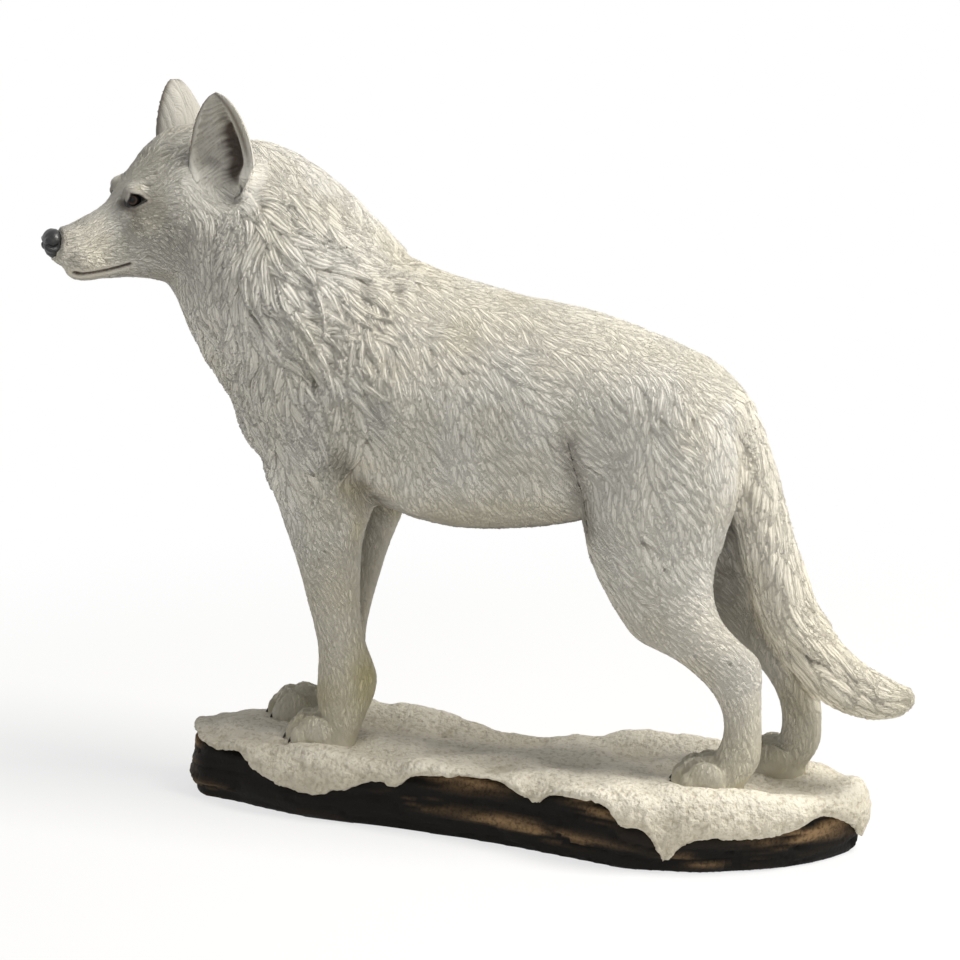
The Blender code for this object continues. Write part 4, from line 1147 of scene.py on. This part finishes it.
    def tone_and_painted_light(self, places: Points) -> Points:
        """Warm cream where it is above 0 and cool grey where it is below, holding painted shade and painted light."""
        ahead, aside, high = HEAD.coordinates(places).T
        aside = np.abs(aside)
        head = self.coat.head_share(places)
        muzzle = smoothstep(30, 36, ahead)
        # Painted shade: the fur round the eye and on the cheek is cooler and darker; painted highlight: the brow is
        # warm cream.
        eye = np.exp(-(((ahead - 25) / 6) ** 2) - ((high - 3) / 7) ** 2)
        cheek_shade = np.exp(-(((ahead - 19) / 7) ** 2) - ((high + 5) / 8) ** 2)
        brow = np.exp(-(((ahead - 26.5) / 2.2) ** 2) - ((high - 8.3) / 1.3) ** 2)
        bridge = muzzle * smoothstep(1.5, -1.5, aside - 2.5) * smoothstep(-6, -2, high)
        crown = smoothstep(12, 18, high) * smoothstep(28, 22, ahead)
        face = 0.45 * muzzle - 0.6 * eye - 0.6 * cheek_shade + 0.9 * brow - 0.5 * bridge - 0.35 * crown - 0.15
        x, z = places[:, 0], places[:, 2] - GROUND
        legs = smoothstep(64, 40, z) * smoothstep(0, 8, z)
        # Painted light: the top of the back is lighter, where the light from above falls.
        back = smoothstep(104, 124, z) * smoothstep(-60, -30, x)
        cast = 0.25 * legs + 0.3 * back + 0.35 * self.coat.tail_share(places)
        cast += 0.16 * value_noise(places, (13, 13, 13), 6.0)
        return np.clip(face * head + cast * (1 - head), -1, 1)

    @staticmethod
    def cut_piece(
        name: str, skin: Mesh, wanted: Points, normals: Points, finish: Material
    ) -> Piece:
        """Makes one piece of the faces wanted, with the whole skin's normals along its edge."""
        mesh = skin.copy()
        add_attribute(mesh, "skin_normal", normals)
        part = bmesh.new()
        part.from_mesh(mesh)
        part.faces.ensure_lookup_table()
        away = [part.faces[i] for i in np.flatnonzero(~wanted)]
        bmesh.ops.delete(part, geom=away, context="FACES")
        part.to_mesh(mesh)
        part.free()
        kept = np.empty(len(mesh.vertices) * 3, np.float32)
        mesh.attributes["skin_normal"].data.foreach_get("vector", kept)
        mesh.attributes.remove(mesh.attributes["skin_normal"])
        return finish_piece(name, mesh, finish, kept.reshape(-1, 3))


class Ground:
    """The base: a log with furrowed bark under a blanket of snow."""

    def __init__(self) -> None:
        """Works out the plan, the way out of it and the distance round it."""
        self.rows = smooth_rows(PLAN, 6, closed=True)
        along = np.roll(self.rows, -1, axis=0)[:, :2] - np.roll(self.rows, 1, axis=0)[:, :2]
        along /= np.linalg.norm(along, axis=1)[:, None]
        self.out = np.stack([along[:, 1], -along[:, 0]], axis=1)
        steps = np.linalg.norm(np.diff(self.rows[:, :2], axis=0, append=self.rows[:1, :2]), axis=1)
        self.arc = np.concatenate([[0], np.cumsum(steps)[:-1]])

    def snow_top(self, spots: Points) -> Points:
        """Height of the snow above the place where the wolf stands."""
        x, y = spots[:, 0], spots[:, 1]
        rim = 2.2 * np.clip((np.abs(y) - 14) / 9, 0, 1)
        drift = np.array([
            noise.noise(Vector((a * 0.035, b * 0.06, 1.7))) + 0.6 * noise.noise(Vector((a * 0.1, b * 0.13, 5.3)))
            for a, b in zip(x, y)
        ])
        return rim + 0.9 * drift

    def build_log(self, finish: Material) -> Piece:
        """Lofts the log, and furrows its bark along its length."""
        behind = 2.2 * np.clip((self.rows[:, 0] + 93) / 12 + 0.3, 0.1, 1)
        clay = Clay()
        rings = []
        end = smoothstep(-88, -98, self.rows[:, 0])
        for level, inset in (
            (0.0, 1.6), (0.6, 0.9), (2.0, 0.3), (5.0, -0.4), (11.0, -0.2), (15.5, 0.4), (18.4, 1.8), (16.2, 6.5),
        ):
            edge = self.rows[:, :2] - self.out * (behind + inset)[:, None]
            levels = level - 1.8 * end * (level > 15)
            rings.append([Vector((x, y, z)) for (x, y), z in zip(edge, levels)])
        clay.loft(rings)
        mesh = one_skin([clay.mesh("log")], LOG_VOXEL, 1)
        places, normals = vectors_of(mesh, "co"), vectors_of(mesh, "normal")
        tree = tree_of(np.column_stack([self.rows[:, :2], np.zeros(len(self.rows))]))
        arc = np.array([self.arc[tree.find((x, y, 0))[1]] for x, y, _ in places])
        side = smoothstep(0.95, 0.6, np.abs(normals[:, 2])) * smoothstep(0.0, 1.2, places[:, 2])
        sway = 2.2 * value_noise(places, (26, 26, 26), 3.0)
        field = np.column_stack([arc, places[:, 2] + sway, np.zeros(len(arc))])
        plates = value_noise(field, (24, 3.6, 9), 1.0)
        splits = 1 - np.abs(value_noise(field, (17, 2.6, 9), 2.0)) * 3.0
        grain = value_noise(field, (7.5, 0.8, 9), 3.0)
        height = 1.0 * plates + 0.3 * grain - 0.9 * np.clip(splits, 0, 1) ** 2
        moved = places + normals * (np.clip(height, -1.5, 0.9) * 0.95 * side)[:, None]
        moved[:, 2] = np.maximum(moved[:, 2], 0.02)
        place_vertices(mesh, moved)
        x, y, z = places.T
        brushed = np.zeros(len(places))
        for cx, cz, rx, rz in (
            (-12, 17.6, 11, 2.4), (-27, 9.2, 9, 1.7), (3, 7.6, 11, 1.7), (30, 17, 7, 3.0), (21, 6.0, 12, 1.6),
            (58, 4.2, 9, 1.6), (82, 10, 9, 3.4), (92, 12, 5, 2.6), (-102, 15, 3.5, 5), (-95, 3, 6, 1.6),
        ):
            brushed += np.exp(-(((x - cx) / rx) ** 2) - ((z - cz) / rz) ** 2) * ((y < 2) | (x > 85))
            brushed += np.exp(-(((x + cx * 0.8) / rx) ** 2) - ((z - cz) / rz) ** 2) * (y > 2) * (x < 85)
        crests = smoothstep(-0.7, 0.3, plates + 0.5 * grain - 0.6 * np.clip(splits, 0, 1))
        brushed = np.clip(1.1 * brushed, 0, 0.85) * crests
        add_attribute(mesh, "paint", np.stack([0.5 + 0.5 * np.clip(height, -1, 1), brushed, arc / 100, side], axis=1))
        return finish_piece("log", mesh, finish)

    def build_snow(self, finish: Material) -> Piece:
        """Lofts the blanket of snow, which rolls over the log's edge in lobes."""
        clay = Clay()
        rings = []
        drawn_in = 1.4 * smoothstep(-94, -101, self.rows[:, 0]) * smoothstep(6, -6, self.rows[:, 1])
        for inset, share in (
            (4.5, 0.2), (2.2, 0.03), (0.6, -0.02), (-0.5, 0.1), (-1.1, 0.27), (-1.1, 0.46), (-0.5, 0.66), (0.6, 0.83),
            (2.0, 0.94), (3.8, 1.0),
        ):
            spots = self.rows[:, :2] - self.out * (inset + drawn_in)[:, None]
            tops = GROUND + self.snow_top(spots)
            levels = self.rows[:, 2] + (tops - self.rows[:, 2]) * share
            rings.append([Vector((x, y, z)) for (x, y), z in zip(spots, levels)])
        edge = self.rows[:, :2] - self.out * (3.8 + drawn_in)[:, None]
        for share in (0.9, 0.8, 0.7, 0.6, 0.5, 0.4, 0.3, 0.2, 0.1, 0.03):
            spots = edge * share
            rings.append([Vector((x, y, z)) for (x, y), z in zip(spots, GROUND + self.snow_top(spots))])
        clay.loft(rings)
        mesh = one_skin([clay.mesh("snow")], SNOW_VOXEL, 2)
        places, normals = vectors_of(mesh, "co"), vectors_of(mesh, "normal")
        top = smoothstep(0.2, 0.8, normals[:, 2])
        lumps = (1.0 + 0.7 * top) * value_noise(places, (17, 12, 14), 1.0)
        small = 0.3 * value_noise(places, (3.0, 3.0, 3.0), 2.0)
        lumps += (0.55 + 0.25 * top) * value_noise(places, (7.5, 7.5, 7.5), 4.0) + small
        worms = np.clip(1 - 3.2 * np.abs(value_noise(places, (1.9, 1.9, 1.9), 5.0)), 0, 1)
        grains = 0.16 * value_noise(places, (1.3, 1.3, 1.3), 3.0) - (0.42 - 0.26 * top) * worms**1.5
        drift = np.zeros(len(places))
        for toes, heel, y in PAWS:
            gap = np.hypot((places[:, 0] - (toes + heel) / 2) / ((heel - toes) / 2 + 2.5), (places[:, 1] - y) / 9.0)
            drift += 0.9 * bell(gap - 1.0, 0.28) * smoothstep(0.3, 0.8, normals[:, 2])
        moved = places + normals * (lumps + grains + drift * 0.6)[:, None]
        moved[:, 2] = np.maximum(moved[:, 2], 0.3)
        place_vertices(mesh, moved)
        # Painted shade: darker in the grains' pits and in the hollows between the lumps.
        hollow_shade = np.clip(0.2 - grains * 1.6 - 0.45 * lumps, 0, 1)
        blotch = 0.5 + 0.5 * value_noise(places, (14, 14, 14), 9.0)
        # Painted shade: darker along the lower hem and on faces that turn downward.
        hem_shade = 0.5 * smoothstep(GROUND + 1, GROUND - 5, places[:, 2])
        wash_and_shade = np.clip(hem_shade + smoothstep(0.25, -0.5, normals[:, 2]), 0, 1)
        add_attribute(mesh, "paint", np.stack([hollow_shade, blotch, wash_and_shade, drift.clip(0, 1)], axis=1))
        return finish_piece("snow", mesh, finish)


class Details:
    """Small glossy pieces of the face and paws: eyes, nose pad and claws."""

    def __init__(self, head: Mesh) -> None:
        """Finds how deep the eyes lie in a bare head."""
        tree = BVHTree.FromPolygons([v.co for v in head.vertices], [p.vertices for p in head.polygons])
        self.eye_skin = {}
        for sign in (1, -1):
            start = HEAD.point(27.2, 30.0 * sign, 4.9)
            hit = tree.ray_cast(start, HEAD.left * -sign)[0]
            self.eye_skin[sign] = 30.0 - (hit - start).length
            LOG.info("skin over the eye on side %d: %.2f mm aside", sign, self.eye_skin[sign])

    def eyes(self, finish: Material) -> list[Piece]:
        """Two balls just under the lids, with the distance from the middle of the iris stored on each."""
        made = []
        for sign, side in ((1, "left"), (-1, "right")):
            bpy.ops.object.select_all(action="DESELECT")
            bpy.ops.mesh.primitive_uv_sphere_add(segments=64, ring_count=40, radius=EYE_RADIUS)
            ball = bpy.context.active_object
            mesh = ball.data.copy()
            bpy.data.objects.remove(ball)
            gaze = (HEAD.forward * 0.42 + HEAD.left * (0.9 * sign) + HEAD.up * 0.08).normalized()
            mesh.transform(gaze.to_track_quat("Z", "Y").to_matrix().to_4x4())
            aside = (self.eye_skin[sign] - EYE_SUNK - EYE_RADIUS) * sign
            mesh.transform(Matrix.Translation(HEAD.point(EYE_PLACE[0], aside, EYE_PLACE[1])))
            places = vectors_of(mesh, "co")
            middle = places.mean(axis=0)
            facing = (places - middle) @ np.array(gaze) / EYE_RADIUS
            add_attribute(mesh, "off_gaze", np.degrees(np.arccos(np.clip(facing, -1, 1))))
            made.append(finish_piece(f"{side}_eye", mesh, finish))
        return made

    @staticmethod
    def nose(finish: Material) -> Piece:
        """The nose pad, with comma-shaped nostrils and a groove down its middle."""
        clay = Clay()
        axes = (HEAD.forward, HEAD.left, HEAD.up)
        clay.ellipsoid(HEAD.point(48.5, 0, -6.9), (2.9, 4.0, 3.3), axes)
        clay.ellipsoid(HEAD.point(48.2, 0, -9.0), (2.7, 2.8, 2.9), axes)
        for sign in (1, -1):
            clay.ellipsoid(HEAD.point(49.0, 2.1 * sign, -7.6), (2.6, 2.0, 2.6), axes)
        mesh = one_skin([clay.mesh("nose")], NOSE_VOXEL, 5)
        places, normals = vectors_of(mesh, "co"), vectors_of(mesh, "normal")
        folded = HEAD.folded(places)
        hole, _ = distance_to_line(folded[:, 1:], np.array(((1.5, -8.0), (2.3, -7.2), (3.6, -7.9), (4.2, -8.9))))
        push = -0.95 * bell(hole, 0.55) * (folded[:, 0] > 47.5)
        push -= 0.35 * bell(folded[:, 1], 0.4) * (folded[:, 0] > 49) * (folded[:, 2] < -6.5)
        push += 0.05 * value_noise(places, (0.7, 0.7, 0.7), 3.0)
        place_vertices(mesh, places + normals * push[:, None])
        return finish_piece("nose_pad", mesh, finish)

    @staticmethod
    def claws(finish: Material) -> Piece:
        """Sixteen claws, one at the front of each toe."""
        clay = Clay()
        for paw in PAWS:
            for tip, y in toes_of(paw):
                root = above_snow(tip + 1.6, y, 2.3)
                rings = []
                for t in np.linspace(0, 1, 7):
                    centre = root + Vector((-2.5 * t, 0, -0.3 * t - 1.9 * t * t))
                    slope = Vector((-2.5, 0, -0.3 - 3.8 * t)).normalized()
                    up = Vector((0, 1, 0)).cross(slope).normalized()
                    half = 0.85 * (1 - t) ** 0.6 + 0.06
                    rings.append([
                        centre + Vector((0, 1, 0)) * (half * 0.8 * math.cos(turn)) + up * (half * math.sin(turn))
                        for turn in (2 * math.pi * n / 10 for n in range(10))
                    ])
                clay.loft(rings)
        return finish_piece("claws", clay.mesh("claws"), finish)


def add_node(
    graph: Graph, kind: str, inputs: dict[str | int, object] | None = None, **settings: object
) -> bpy.types.Node:
    """Adds a node to a material.

    Args:
        graph: The material's nodes.
        kind: Type of the node.
        inputs: For each input's name or number, a value or the socket that feeds it.
        settings: Properties of the node.

    Returns:
        The node.
    """
    node = graph.nodes.new(kind)
    for name, value in settings.items():
        setattr(node, name, value)
    for name, value in (inputs or {}).items():
        if isinstance(value, Socket):
            graph.links.new(value, node.inputs[name])
        else:
            node.inputs[name].default_value = value
    return node


def begin_material(name: str) -> tuple[Material, Graph, bpy.types.Node]:
    """A new material, its nodes and its shader."""
    material = bpy.data.materials.new(name)
    material.use_nodes = True
    return material, material.node_tree, material.node_tree.nodes["Principled BSDF"]


@dataclass(frozen=True)
class VarnishedPaint:
    """One plain colour with a coat of varnish over it."""

    name: str
    colour: str
    roughness: float
    coat: float

    def material(self) -> Material:
        """Makes the finish."""
        material, _, shader = begin_material(self.name)
        shader.inputs["Base Color"].default_value = srgb(self.colour)
        shader.inputs["Roughness"].default_value = self.roughness
        shader.inputs["Coat Weight"].default_value = self.coat
        shader.inputs["Coat Roughness"].default_value = 0.12
        return material


@dataclass(frozen=True)
class AntiquedFur:
    """Matt white resin, antiqued: a brown-grey wash stays in the grooves and the tops are wiped clean; painted shade
    and painted light are mixed into its colour.
    """

    base: str = "DEDBD2"
    roughness: float = 0.6

    def material(self) -> Material:
        """Makes the finish."""
        material, graph, shader = begin_material("antiqued white resin fur")
        tone_and_painted_light = add_node(graph, "ShaderNodeAttribute", attribute_name="tone_and_painted_light")
        grey_and_painted_shade = add_node(graph, "ShaderNodeMath", {0: tone_and_painted_light.outputs["Fac"], 1: -1.0}, operation="MULTIPLY")
        paint = add_node(graph, "ShaderNodeAttribute", attribute_name="paint")
        parts = add_node(graph, "ShaderNodeSeparateColor", {"Color": paint.outputs["Color"]})
        lie = add_node(graph, "ShaderNodeAttribute", attribute_name="strand")
        across = add_node(graph, "ShaderNodeSeparateXYZ", {0: lie.outputs["Vector"]})
        hair = add_node(
            graph, "ShaderNodeVectorMath", {0: lie.outputs["Vector"], 1: (0.9, 0.3, 1.0)}, operation="MULTIPLY"
        )
        stray = add_node(
            graph, "ShaderNodeTexNoise", {"Vector": hair.outputs[0], "Scale": 1.0, "Detail": 2.0, "Roughness": 0.6}
        )
        turn = add_node(graph, "ShaderNodeMath", {0: across.outputs["X"], 1: math.pi}, operation="MULTIPLY")
        slope = add_node(graph, "ShaderNodeMath", {0: turn.outputs[0]}, operation="SINE")
        broad = add_node(graph, "ShaderNodeMath", {0: slope.outputs[0]}, operation="ABSOLUTE")
        split = add_node(
            graph, "ShaderNodeMath", {0: stray.outputs["Fac"], 1: 4.0, 2: across.outputs["X"]}, operation="MULTIPLY_ADD"
        )
        twice = add_node(graph, "ShaderNodeMath", {0: split.outputs[0], 1: math.pi * 2.2}, operation="MULTIPLY")
        thin = add_node(graph, "ShaderNodeMath", {0: twice.outputs[0]}, operation="SINE")
        fine_hair = add_node(graph, "ShaderNodeMath", {0: thin.outputs[0]}, operation="ABSOLUTE")
        both = add_node(
            graph, "ShaderNodeMath", {0: fine_hair.outputs[0], 1: 0.5, 2: broad.outputs[0]}, operation="MULTIPLY_ADD"
        )
        depth = add_node(graph, "ShaderNodeAttribute", attribute_name="depth")
        strands = add_node(
            graph, "ShaderNodeMath", {0: both.outputs[0], 1: depth.outputs["Fac"]}, operation="MULTIPLY"
        )
        groove = add_node(
            graph, "ShaderNodeMapRange",
            {"Value": parts.outputs["Red"], "From Min": 0.3, "From Max": 1.0, "To Min": 0.0, "To Max": 0.42},
            interpolation_type="SMOOTHSTEP",
        )
        # Painted shade: the valleys of the fine hair, which the bump sinks, are darkened too and join the wash.
        strand_valley_shade = add_node(
            graph, "ShaderNodeMapRange",
            {"Value": both.outputs[0], "From Min": 0.6, "From Max": 0.0, "To Min": 0.0, "To Max": 0.25},
        )
        wash_and_shade = add_node(graph, "ShaderNodeMath", {0: groove.outputs[0], 1: strand_valley_shade.outputs[0]}, operation="MAXIMUM")
        colour = srgb(self.base)
        # Layers: warm cream (partly painted light), cool grey (partly painted shade), the wash with painted shade,
        # yellowing, brown (partly painted shade) and black.
        for share, tint in (
            (tone_and_painted_light.outputs["Fac"], "EFE6CF"), (grey_and_painted_shade.outputs[0], "8F8C84"), (wash_and_shade.outputs[0], "9A9080"),
            (parts.outputs["Green"], "B5AA7C"), (parts.outputs["Blue"], "4A3A2B"), (paint.outputs["Alpha"], "161413"),
        ):
            layer = add_node(
                graph, "ShaderNodeMix", {0: share, 6: colour, 7: srgb(tint)}, data_type="RGBA", clamp_factor=True
            )
            colour = layer.outputs[2]
        graph.links.new(colour, shader.inputs["Base Color"])
        bump = add_node(
            graph, "ShaderNodeBump", {"Height": strands.outputs[0], "Strength": 1.0, "Distance": 0.00018}
        )
        graph.links.new(bump.outputs[0], shader.inputs["Normal"])
        shader.inputs["Roughness"].default_value = self.roughness
        return material


@dataclass(frozen=True)
class GrittySnow:
    """White grit in binder: matt and finely pitted, with painted shade, darker and a little warmer, in the pits, along
    the hem and underneath.
    """

    base: str = "E3DDCE"
    roughness: float = 0.72

    def material(self) -> Material:
        """Makes the finish."""
        material, graph, shader = begin_material("gritty white snow")
        paint = add_node(graph, "ShaderNodeAttribute", attribute_name="paint")
        parts = add_node(graph, "ShaderNodeSeparateColor", {"Color": paint.outputs["Color"]})
        place = add_node(graph, "ShaderNodeTexCoord")
        grit = add_node(
            graph, "ShaderNodeTexNoise",
            {"Vector": place.outputs["Object"], "Scale": 700.0, "Detail": 2.0, "Roughness": 0.6},
        )
        grit_pit_shade = add_node(
            graph, "ShaderNodeMapRange",
            {"Value": grit.outputs["Fac"], "From Min": 0.5, "From Max": 0.34, "To Min": 0.0, "To Max": 1.0},
        )
        # Painted shade, a little warm: the pits and hollows, the hem and the underside, and the grit's fine pits that
        # the bump sinks.
        deep_shade = add_node(graph, "ShaderNodeMath", {0: parts.outputs["Red"], 1: 0.55}, operation="MULTIPLY")
        hem_shade = add_node(graph, "ShaderNodeMath", {0: parts.outputs["Blue"], 1: 0.4}, operation="MULTIPLY")
        colour = srgb(self.base)
        dark = add_node(graph, "ShaderNodeMath", {0: grit_pit_shade.outputs[0], 1: 0.5}, operation="MULTIPLY")
        for share, tint in ((deep_shade.outputs[0], "B5AD9B"), (hem_shade.outputs[0], "A89E86"), (dark.outputs[0], "A2967F")):
            layer = add_node(graph, "ShaderNodeMix", {0: share, 6: colour, 7: srgb(tint)}, data_type="RGBA")
            colour = layer.outputs[2]
        graph.links.new(colour, shader.inputs["Base Color"])
        bump = add_node(graph, "ShaderNodeBump", {"Height": grit.outputs["Fac"], "Strength": 1.0, "Distance": 0.0011})
        graph.links.new(bump.outputs[0], shader.inputs["Normal"])
        shader.inputs["Roughness"].default_value = self.roughness
        return material


@dataclass(frozen=True)
class DryBrushedBark:
    """Near-black paint, with ochre dragged over the ridges with an almost dry brush."""

    base: str = "0F0D0A"
    roughness: float = 0.68

    def material(self) -> Material:
        """Makes the finish."""
        material, graph, shader = begin_material("dry-brushed black bark")
        paint = add_node(graph, "ShaderNodeAttribute", attribute_name="paint")
        parts = add_node(graph, "ShaderNodeSeparateColor", {"Color": paint.outputs["Color"]})
        place = add_node(graph, "ShaderNodeTexCoord")
        grain = add_node(
            graph, "ShaderNodeTexNoise",
            {"Vector": place.outputs["Object"], "Scale": 1100.0, "Detail": 3.0, "Roughness": 0.6},
        )
        patchy = add_node(
            graph, "ShaderNodeMapRange",
            {"Value": grain.outputs["Fac"], "From Min": 0.36, "From Max": 0.55, "To Min": 0.45, "To Max": 1.0},
        )
        ochre = add_node(
            graph, "ShaderNodeMath", {0: parts.outputs["Green"], 1: patchy.outputs[0]}, operation="MULTIPLY"
        )
        ridge = add_node(
            graph, "ShaderNodeMapRange",
            {"Value": parts.outputs["Red"], "From Min": 0.5, "From Max": 1.0, "To Min": 0.0, "To Max": 0.9},
        )
        colour = srgb(self.base)
        for share, tint in ((ridge.outputs[0], "231C16"), (ochre.outputs[0], "937857")):
            layer = add_node(graph, "ShaderNodeMix", {0: share, 6: colour, 7: srgb(tint)}, data_type="RGBA")
            colour = layer.outputs[2]
        graph.links.new(colour, shader.inputs["Base Color"])
        bump = add_node(graph, "ShaderNodeBump", {"Height": grain.outputs["Fac"], "Strength": 0.7, "Distance": 0.0003})
        graph.links.new(bump.outputs[0], shader.inputs["Normal"])
        shader.inputs["Roughness"].default_value = self.roughness
        shader.inputs["Specular IOR Level"].default_value = 0.15
        return material


@dataclass(frozen=True)
class VarnishedEye:
    """Dark varnished eye: a black pupil, a muted brown-grey iris and a black rim."""

    roughness: float = 0.35
    coat: float = 0.12

    def material(self) -> Material:
        """Makes the finish."""
        material, graph, shader = begin_material("varnished dark eye")
        spot = add_node(graph, "ShaderNodeAttribute", attribute_name="off_gaze")
        ramp = add_node(
            graph, "ShaderNodeMapRange",
            {"Value": spot.outputs["Fac"], "From Min": 0.0, "From Max": 60.0, "To Min": 0.0, "To Max": 1.0},
        )
        rings = add_node(graph, "ShaderNodeValToRGB", {0: ramp.outputs[0]})
        elements = rings.color_ramp.elements
        elements[0].color, elements[1].color = srgb("0B0A0A"), srgb("0E0C0B")
        for at, tint in ((0.28, "0B0A0A"), (0.35, "2E1F15"), (0.46, "4A3424"), (0.55, "0A0909")):
            elements.new(at).color = srgb(tint)
        graph.links.new(rings.outputs[0], shader.inputs["Base Color"])
        shader.inputs["Roughness"].default_value = self.roughness
        shader.inputs["Specular IOR Level"].default_value = 0.15
        shader.inputs["Coat Weight"].default_value = self.coat
        shader.inputs["Coat Roughness"].default_value = 0.05
        return material


def backdrop_rays(graph: Graph, rays: bpy.types.Node) -> Socket:
    """1 for the rays that show the backdrop: those of the camera, of reflections and through clear things."""
    mirrored = add_node(
        graph, "ShaderNodeMath", {0: rays.outputs["Is Camera Ray"], 1: rays.outputs["Is Glossy Ray"]},
        operation="MAXIMUM",
    )
    through = add_node(
        graph, "ShaderNodeMath", {0: mirrored.outputs[0], 1: rays.outputs["Is Transmission Ray"]}, operation="MAXIMUM"
    )
    return through.outputs[0]


@dataclass
class Studio:
    """A plain white table in soft light, and the camera where the photo was taken."""

    azimuth: float = 21.0
    elevation: float = 11.0
    distance: float = 0.612
    target: tuple[float, float, float] = (-0.006, -0.022, 0.103)
    lens: float = 85.0

    def floor(self) -> Piece:
        """A white table that runs out of sight."""
        bpy.ops.object.select_all(action="DESELECT")
        bpy.ops.mesh.primitive_plane_add(size=60.0)
        floor = bpy.context.active_object
        floor.name = "table"
        material = bpy.data.materials.new("white table")
        material.use_nodes = True
        graph = material.node_tree
        shader = graph.nodes["Principled BSDF"]
        shader.inputs["Base Color"].default_value = srgb("F4F4F4")
        shader.inputs["Roughness"].default_value = 0.9
        shader.inputs["Specular IOR Level"].default_value = 0.0
        place = add_node(graph, "ShaderNodeTexCoord")
        gap = add_node(graph, "ShaderNodeVectorMath", {0: place.outputs["Object"]}, operation="LENGTH")
        away = add_node(
            graph, "ShaderNodeMapRange",
            {"Value": gap.outputs["Value"], "From Min": 0.12, "From Max": 0.42, "To Min": 0.7, "To Max": 1.0},
            interpolation_type="SMOOTHSTEP",
        )
        rays = add_node(graph, "ShaderNodeLightPath")
        seen = add_node(
            graph, "ShaderNodeMath", {0: away.outputs[0], 1: backdrop_rays(graph, rays)}, operation="MULTIPLY"
        )
        white = add_node(graph, "ShaderNodeEmission", {"Color": (1, 1, 1, 1), "Strength": 1.0})
        mixed = add_node(
            graph, "ShaderNodeMixShader", {0: seen.outputs[0], 1: shader.outputs[0], 2: white.outputs[0]}
        )
        graph.links.new(mixed.outputs[0], graph.nodes["Material Output"].inputs["Surface"])
        floor.data.materials.append(material)
        return floor

    def light(self, name: str, place: Row, size: float, power: float, tint: str) -> None:
        """One square soft light aimed at the figurine."""
        lamp = bpy.data.lights.new(name, "AREA")
        lamp.size, lamp.energy, lamp.color = size, power, srgb(tint)[:3]
        holder = bpy.data.objects.new(name, lamp)
        holder.location = place
        aim = Vector(self.target) - Vector(place)
        holder.rotation_euler = aim.to_track_quat("-Z", "Y").to_euler()
        bpy.context.scene.collection.objects.link(holder)

    def build(self) -> None:
        """Sets up table, lights, backdrop and camera."""
        self.floor()
        self.light("key soft box", (0.66, -0.02, 1.0), 0.5, 15.5, "FFFCF5")
        self.light("front fill", (0.5, -1.4, 0.6), 1.0, 2.0, "FFFFFF")
        world = bpy.data.worlds.new("white room")
        world.use_nodes = True
        graph = world.node_tree
        back = graph.nodes["Background"]
        back.inputs["Color"].default_value = (1, 1, 1, 1)
        rays = add_node(graph, "ShaderNodeLightPath")
        level = add_node(
            graph, "ShaderNodeMapRange",
            {"Value": backdrop_rays(graph, rays), "From Min": 0.0, "From Max": 1.0, "To Min": 0.3, "To Max": 1.0},
        )
        graph.links.new(level.outputs[0], back.inputs["Strength"])
        bpy.context.scene.world = world
        lens = bpy.data.cameras.new("photo_view")
        lens.lens, lens.sensor_width = self.lens, 36.0
        camera = bpy.data.objects.new("photo_view", lens)
        a, e = math.radians(self.azimuth), math.radians(self.elevation)
        back_off = Vector((math.sin(a) * math.cos(e), -math.cos(a) * math.cos(e), math.sin(e)))
        camera.location = Vector(self.target) + back_off * self.distance
        camera.rotation_euler = (-back_off).to_track_quat("-Z", "Y").to_euler()
        bpy.context.scene.collection.objects.link(camera)
        bpy.context.scene.camera = camera
        bpy.context.scene.view_settings.view_transform = "Standard"


def main() -> None:
    """Builds the figurine piece by piece, then the studio."""
    ground = Ground()
    ground.build_log(DryBrushedBark().material())
    ground.build_snow(GrittySnow().material())
    fur = Fur(WolfForm(), Coat(), FaceCarving())
    details = Details(fur.head)
    fur.build(AntiquedFur().material())
    details.eyes(VarnishedEye().material())
    details.nose(VarnishedPaint("glossy black nose", "0B0A0B", 0.42, 0.12).material())
    details.claws(VarnishedPaint("dark horn claw", "26221F", 0.38, 0.4).material())
    Studio().build()


if __name__ == "__main__":
    main()
